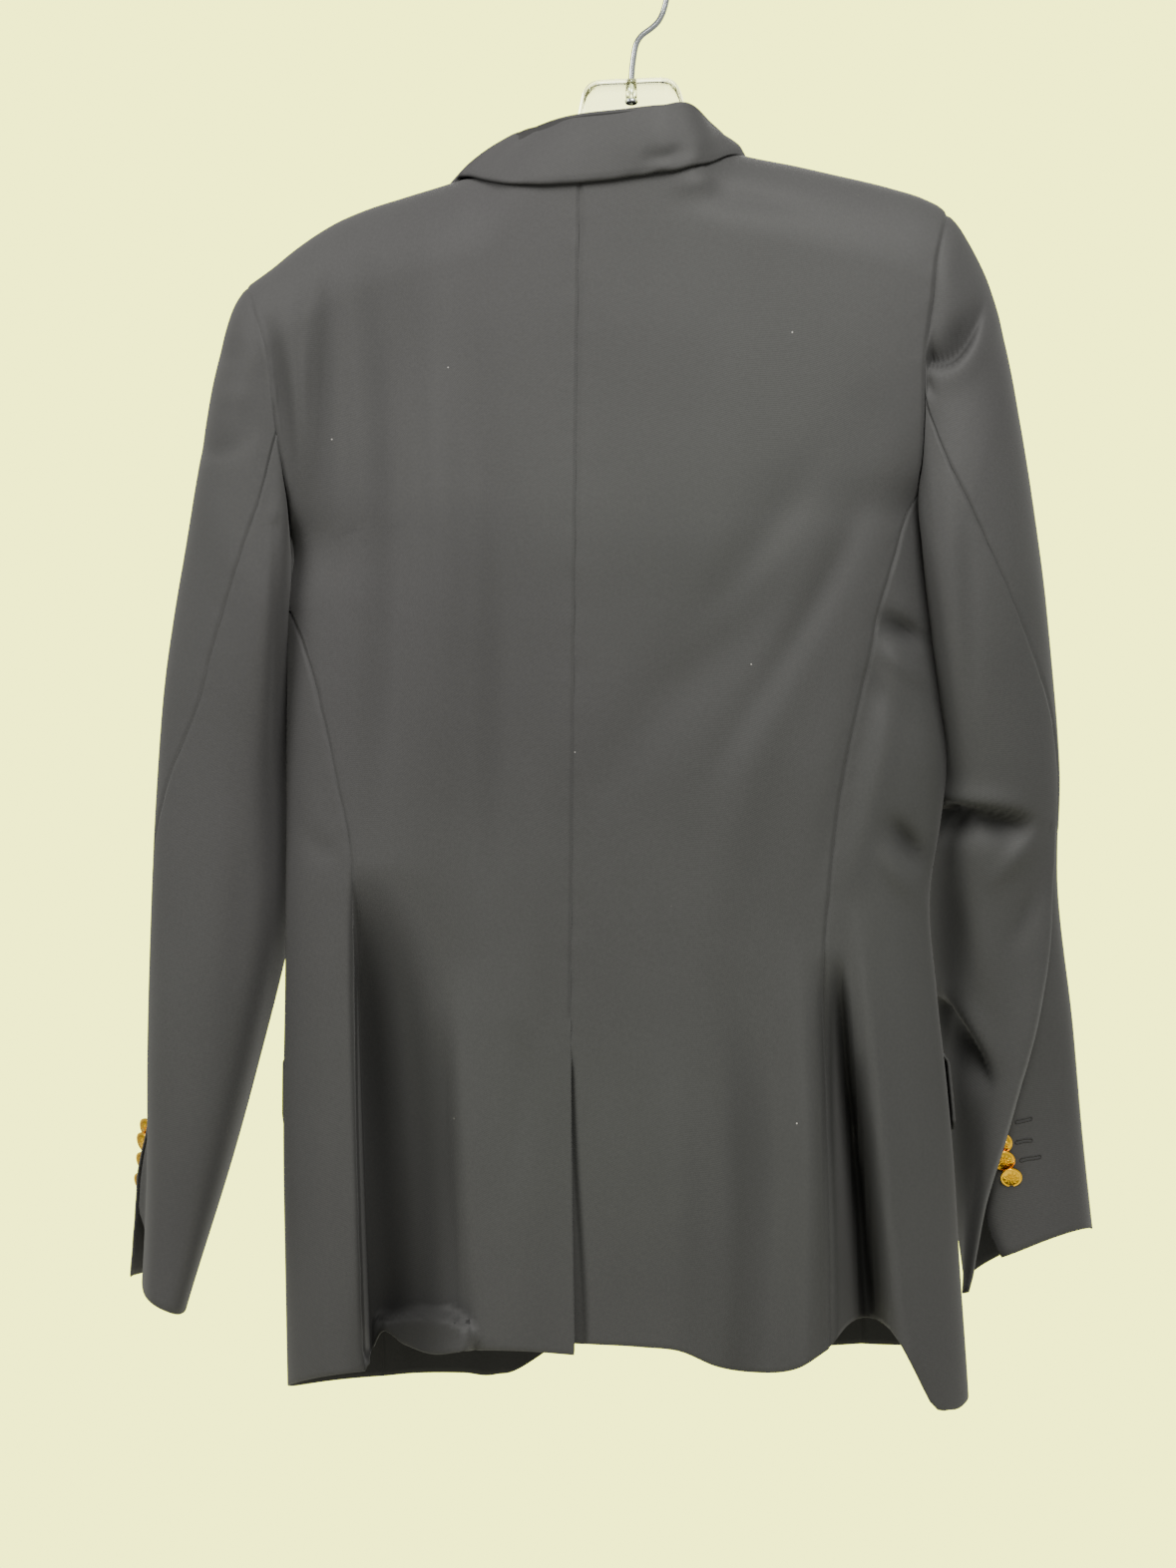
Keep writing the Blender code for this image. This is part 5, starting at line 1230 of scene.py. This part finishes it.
# ---- Buttons ---------------------------------------------------------------------------------
# Domed gold-coloured metal buttons on sewn shanks: four on each cuff, set close so that each
# leans on the next, and two on the front. Their relief is a plain rosette inside a beaded ring.
gold = plain_look("gold_metal", Base_Color=(0.86, 0.50, 0.02, 1.0), Metallic=1.0, Roughness=0.24)
CUFF_BUTTON, FRONT_BUTTON, BUTTON_THICK = 14.0, 20.0, 4.0
BUTTON_LIFT, FLAT_LIFT = 1.3, 0.39       # how far a leaning button stands off, and a flat one
BUTTON_SIDES = 72
BUTTON_EDGE = (                # the raised rim, the side, the back and the shank: radius, height
    (0.83, 0.86, 0.90, 0.94, 0.975, 1.0, 1.0, 0.97, 0.90, 0.2, 0.2),
    (0.60, 0.58, 0.60, 0.66, 0.66, 0.60, 0.42, 0.2, 0.04, 0.0, -0.3),
)
PETALS, BEADS = 10, 36
CUFF_SEATS = {                 # x, z of each button from above, seen from the back
    "left": ((-311, -767), (-312, -778), (-313, -789), (-313, -802)),
    "right": ((238, -765), (239.6, -777.2), (241.2, -788.4), (245.5, -799.3)),
}
CUFF_LEAN = {"left": (20, 22, 24, 26), "right": (0, 14, 24, 33)}      # degrees, upper edge out
CUFF_TURN = {"left": 0.8, "right": 0.0}        # how far they turn towards the seam behind them
FRONT_SEATS = ((1.5, -571.0), (-3.0, -672.0))


def closed_grid(rows, columns):
    """Point numbers of a grid whose last column joins the first."""
    index = np.arange(rows * columns).reshape(rows, columns)
    return np.concatenate([index, index[:, :1]], 1)


def linked(mesh):
    """An object of a mesh, smooth and with its faces turned outwards."""
    work = bmesh.new()
    work.from_mesh(mesh)
    bmesh.ops.recalc_face_normals(work, faces=work.faces)
    work.to_mesh(mesh)
    work.free()
    mesh.shade_smooth()
    made = bpy.data.objects.new(mesh.name, mesh)
    scene.collection.objects.link(made)
    return made


def metal_button(seat, way, size, lean=0.0):
    """A turned dome with a rosette in relief, a beaded ring, a raised rim, a flat back, a shank.

    Heights are cosines round the button under bell curves of its radius, in parts of its thickness.
    """
    down = np.array([0.0, 0.0, -1.0])
    down = unit(down - way * (down @ way))
    axis = way * math.cos(math.radians(lean)) + down * math.sin(math.radians(lean))
    side = unit(np.cross(axis, [0.3, 0.2, 0.93]))
    other = np.cross(axis, side)
    turn = np.arange(BUTTON_SIDES) * 2 * math.pi / BUTTON_SIDES
    face = np.linspace(0.02, 0.80, 18)[:, None]
    edge, edge_height = np.array(BUTTON_EDGE)[..., None]
    dome = 0.62 + 0.34 * (1 - (face / 0.8) ** 2)
    petals = 0.10 * np.cos(PETALS * turn) * np.exp(-((face - 0.42) / 0.16) ** 2)
    centre = 0.08 * np.cos(PETALS / 2 * turn) * np.exp(-((face - 0.16) / 0.07) ** 2)
    beads = 0.08 * np.cos(BEADS * turn) * np.exp(-((face - 0.69) / 0.035) ** 2)
    height = np.concatenate([dome + petals + centre + beads, edge_height + 0 * turn]) * BUTTON_THICK
    radius = np.concatenate([face, edge]) * size / 2
    points = (seat + way * (BUTTON_LIFT if lean > 0 else FLAT_LIFT) + axis * height[..., None]
              + radius[..., None] * (np.cos(turn)[:, None] * side + np.sin(turn)[:, None] * other))
    index = closed_grid(*height.shape)
    points = true_place(points).reshape(-1, 3)
    tips = [points[:BUTTON_SIDES].mean(0), points[-BUTTON_SIDES:].mean(0)]
    caps = [np.stack([np.full(BUTTON_SIDES, len(points) + tip), ring[1:], ring[:-1]], -1)
            for tip, ring in ((0, index[0]), (1, index[-1][::-1]))]
    faces = quads_of(index).reshape(-1, 4).tolist() + np.concatenate(caps).tolist()
    return np.concatenate([points, tips]), faces


def make_button(node_name, *where):
    """A button's object in place of its CAD node, from its seat, way, size and lean."""
    points, faces = metal_button(*where)
    mesh = bpy.data.meshes.new(node_name + "_metal")
    mesh.from_pydata((points * MM).tolist(), [], faces)
    mesh.materials.append(gold)
    return dressed(linked(mesh), "gold_metal", node_name)


def seam_patch(rows, turns):
    """Points and normals of the right sleeve at its cuff, at some turns from its hind seam."""
    t = np.linspace(0.84, 0.97, rows)[:, None] + 0 * turns
    turn = np.radians(read(SLEEVE_RIGHT, "hind", t, "t")) + np.radians(turns)
    patch = cuffs["right"][0](t, turn)[0]
    return patch, grid_normals(patch, patch.mean((0, 1)) + [0.0, 60.0, 0.0])


def nearest(patch, x, z):
    """The place in a grid of points of the one whose x and z come closest."""
    off = np.hypot(patch[..., 0] - x, patch[..., 2] - z)
    return np.unravel_index(off.argmin(), off.shape)


vent_edge, vent_normals = (grid[:, -16:-2] for grid in cuffs["left"][1])
button_cloth = {               # the standing edge of the left vent; the right seam under its fold
    "left": (vent_edge, vent_normals),
    "right": seam_patch(140, np.linspace(-26, 10, 80)),
}
for side, (cloth, normals) in button_cloth.items():
    for number, (x, z) in enumerate(CUFF_SEATS[side], 1):
        at = nearest(cloth, x, z)
        way = unit(normals[at] + np.array([0.0, -CUFF_TURN[side], 0.0]))
        make_button(f"cuff_button_{side}_{number}", cloth[at], way, CUFF_BUTTON,
                    CUFF_LEAN[side][number - 1])
for number, (x, z) in enumerate(FRONT_SEATS, 1):
    seat, way = on_cloth(angle_at(np.array(x), np.array(z), "front_left"), np.array(z), 0.0)
    make_button(f"front_button_{number}", seat, way, FRONT_BUTTON)


# ---- Hanger ----------------------------------------------------------------------------------
# A clear moulded hanger: a thin web with a broad rim all round, a boss in its neck and a chromed
# wire hook held by a small flange under the boss. The garment's weight has tilted it.
NECK_BASE = -103.0
HANGER_TILT = math.radians(2.3)
HANGER_HALF = 193.5            # from its middle to the end of an arm
WEB_THICK = 1.8
RIM_HALVES, RIM_SQUARE = (0.95, 4.0), 0.4          # half its height and depth; how square it is
LATHE_SIDES = 32
HANGER = {
    "x":      (0, 18, 24, 27.5, 30, 34, 40, 52, 71, 110, 145, 170, 185, 195),
    "top":    (-91.5, -91.5, -92, -94, -97, -112, -137, -143.5, -148.5, -157.8, -167, -174.5,
               -181, -190),
    "bottom": (-147, -147.5, -148.5, -149, -150, -151.5, -154, -160, -166, -176, -185.5, -193,
               -198, -202),
}
clear = plain_look("clear_plastic", Base_Color=(0.95, 0.97, 0.96, 1.0), Roughness=0.02,
                   Transmission_Weight=1.0, IOR=1.42)


def tilted(x, y, z):
    """Points of the hanger in its own straight form, turned about the wire's foot."""
    c, s = math.cos(HANGER_TILT), math.sin(HANGER_TILT)
    up = z - NECK_BASE
    return np.stack([x * c - up * s, y + 0 * x, NECK_BASE + x * s + up * c], -1)


def even_steps(line, count):
    """The same line through points that lie equally far apart along it."""
    run = np.insert(np.cumsum(np.hypot(*np.diff(line, axis=0).T)), 0, 0.0)
    at = np.linspace(0, run[-1], count)
    return np.stack([np.interp(at, run, line[:, k]) for k in (0, 1)], -1)


def swept(path, square, section):
    """Rings of a section carried along a path: points, and quads closed round the section."""
    ways = unit(np.gradient(path, axis=0))
    side = unit(np.cross(ways, square))
    rings = (path[:, None] + section[None, :, :1] * side[:, None]
             + section[None, :, 1:] * np.broadcast_to(square, side.shape)[:, None])
    index = closed_grid(*rings.shape[:2])
    return rings.reshape(-1, 3), quads_of(index).reshape(-1, 4), index


def solid_of(name, parts, look):
    """One object of several closed parts, each given as points and a list of faces."""
    points, faces = [], []
    for part_points, part_faces in parts:
        faces += [[corner + len(points) for corner in face] for face in part_faces]
        points += (part_points * MM).tolist()
    mesh = bpy.data.meshes.new(name)
    mesh.from_pydata(points, [], faces)
    mesh.materials.append(look)
    return linked(mesh)


def rod(path, square, radius, sides=16):
    """A round rod along a path, with its ends closed; radius may differ along it."""
    turn = np.arange(sides) * 2 * math.pi / sides
    ring = np.stack([np.cos(turn), np.sin(turn)], -1)
    points, quads, index = swept(path, np.array(square, float), ring)
    centre = np.repeat(path, sides, 0)
    wide = np.repeat(np.broadcast_to(radius, len(path)), sides)[:, None]
    points = centre + (points - centre) * wide
    faces = quads.tolist() + [index[0, :-1].tolist(), index[-1, :-1][::-1].tolist()]
    return points, faces


def lathe(rows):
    """A closed turned form about the wire's foot, from (radius, height) rows."""
    turn = np.arange(LATHE_SIDES) * 2 * math.pi / LATHE_SIDES
    rows = np.array(rows, float)
    points = np.stack([rows[:, :1] * np.cos(turn), rows[:, :1] * np.sin(turn),
                       NECK_BASE + rows[:, 1:] + 0 * turn], -1)
    index = closed_grid(len(rows), LATHE_SIDES)
    faces = quads_of(index).reshape(-1, 4).tolist()
    return points.reshape(-1, 3), faces + [index[0, :-1].tolist(), index[-1, :-1].tolist()]


# the web: a plate between the hanger's upper and lower edges
x = np.concatenate([np.linspace(0, 50, 61), np.linspace(50, HANGER_HALF, 80)[1:]])
x = np.concatenate([-x[:0:-1], x])
top, low = (read(HANGER, column, np.abs(x), "x") for column in ("top", "bottom"))
web = [np.stack([tilted(x, y, z) for z in (low + 0.8, low + (top - low) / 2, top - 0.8)])
       for y in (-WEB_THICK / 2, WEB_THICK / 2)]
grid = np.arange(3 * len(x)).reshape(3, len(x))
quads = quads_of(grid).reshape(-1, 4)
border = np.concatenate([grid[0], grid[1:, -1], grid[-1, -2::-1], grid[-2:0:-1, 0]])
after = np.roll(border, -1)
web_faces = np.concatenate([quads, quads[:, ::-1] + grid.size,
                            np.stack([border, after, after + grid.size, border + grid.size], -1)])
# the rim: a rounded square section carried round the web's edge
line = np.concatenate([np.stack([x, top], -1), np.stack([x, low], -1)[::-1]])
line = even_steps(np.concatenate([line, line[:1]]), 700)
for _ in range(6):
    line[:-1] = (np.roll(line[:-1], 1, 0) + 2 * line[:-1] + np.roll(line[:-1], -1, 0)) / 4
    line[-1] = line[0]
turn = np.linspace(0, 2 * math.pi, 25)[:-1]
rim_section = np.stack([half * np.sign(way(turn)) * np.abs(way(turn)) ** RIM_SQUARE
                        for half, way in zip(RIM_HALVES, (np.cos, np.sin))], -1)
rim_points, rim_quads, _ = swept(tilted(line[:, 0], 0.0, line[:, 1]),
                                 np.array([0.0, 1.0, 0.0]), rim_section)
# the boss: a tube, whose last row is joined to its first in place of its two end faces
boss = lathe([(2.1, 12.2), (3.5, 12.2), (3.6, 6), (3.6, 0.4), (2.1, 0.4)])
first = np.arange(LATHE_SIDES)
after, last = np.roll(first, -1), 4 * LATHE_SIDES
boss[1][-2:] = np.stack([first, after, last + after, last + first], -1).tolist()
hanger = solid_of("hanger_clear", [(np.concatenate([face.reshape(-1, 3) for face in web]),
                                    web_faces.tolist()), (rim_points, rim_quads.tolist()), boss],
                  clear)
dressed(hanger, "clear_plastic", "hanger")

chrome = plain_look("hook_chrome", Base_Color=(0.46, 0.49, 0.51, 1.0), Metallic=1.0, Roughness=0.16)
WIRE, HOOK_RADIUS, WIRE_STEPS = 3.8, 26.0, 260
HOOK_STEM = ((0, -102.6), (0, -97), (0, -91), (0.6, -82), (2, -72), (3.2, -66.5), (6.5, -61.5),
             (12.5, -57.5), (17.5, -53), (20.5, -47), (22.2, -41))
turn = np.radians(np.linspace(-26.0, 212.0, 60))
loop = np.stack([HOOK_RADIUS * np.cos(turn), WIRE / 2 - HOOK_RADIUS + HOOK_RADIUS * np.sin(turn)],
                -1)
path = even_steps(np.concatenate([np.array(HOOK_STEM, float), loop]), WIRE_STEPS)
for _ in range(14):
    path[1:-1] = (path[:-2] + 2 * path[1:-1] + path[2:]) / 4
to_end = np.clip((WIRE_STEPS - np.arange(WIRE_STEPS)) / 4.0, 0, 1)
rounded = np.sqrt(np.clip(1 - (1 - to_end) ** 2, 0.05, 1))           # the wire's rounded tip
wire = rod(np.stack([path[:, 0], 0 * path[:, 0], path[:, 1]], -1), (0.0, 1.0, 0.0),
           WIRE / 2 * rounded, 20)
flange = lathe([(0.2, 0.2), (3.2, 0.2), (4.2, -0.6), (4.3, -2.2), (3.4, -3.6), (1.6, -4.2),
                (0.2, -4.3)])
hook = solid_of("hook_wire", [wire, flange], chrome)
dressed(hook, "hook_chrome", "hanger_hook")


# ---- Buttonholes -----------------------------------------------------------------------------
# Worked in black thread: two raised lines with a bar at each end, on the right cuff, on the left
# front beside the front buttons and in the left lapel. None is cut through.
HOLE_GAP, STITCH = 2.0, 0.3              # between its two lines, and the cord's radius
CUFF_HOLES = ((249, -764, 9), (249.5, -777.5, 9), (252, -789, 12))       # x, z and length


def buttonhole(name, line, normals):
    """Two cords beside a line that lies on the cloth, joined round at both ends."""
    ways = unit(np.gradient(line, axis=0))
    side = unit(np.cross(ways, normals))
    up = normals * STITCH * 0.6
    half = HOLE_GAP / 2
    turn = np.linspace(-math.pi / 2, math.pi / 2, 9)[1:-1, None]
    ends = [line[k] + up[k] + half * (np.sin(turn) * way * side[k] + np.cos(turn) * way * ways[k])
            for k, way in ((-1, 1.0), (0, -1.0))]
    path = np.concatenate([line + up - half * side, ends[0], (line + up + half * side)[::-1],
                           ends[1]])
    path = np.concatenate([path, path[:1]])
    work = solid_of(name, [rod(true_place(path), unit(normals.mean(0)), STITCH, 8)], thread)
    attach(work, "root")


cloth, normals = seam_patch(120, np.linspace(6, -50, 90))
for number, (x, z, length) in enumerate(CUFF_HOLES, 1):
    spots = [nearest(cloth, x + run, z + 0.2 * run) for run in np.linspace(0, length, 7)]
    line = np.array([cloth[spot] for spot in spots])
    line[1:-1] = (line[:-2] + 2 * line[1:-1] + line[2:]) / 4
    buttonhole(f"cuff_buttonhole_{number}", line, np.array([normals[spot] for spot in spots]))
for name, places in (("front_buttonhole_1", ((-15, -571), (-1.5, -571))),
                     ("front_buttonhole_2", ((-19.5, -672), (-6, -672))),
                     ("lapel_buttonhole", ((-138, -252), (-122, -258)))):
    part = np.linspace(0, 1, 12)
    x, z = (places[0][k] + (places[1][k] - places[0][k]) * part for k in (0, 1))
    lift = LAPEL_LIFT + 0.3 if name == "lapel_buttonhole" else 0.2
    line, normals = on_cloth(angle_at(x, z, "front_left"), z, np.full(12, lift))
    buttonhole(name, line, normals)
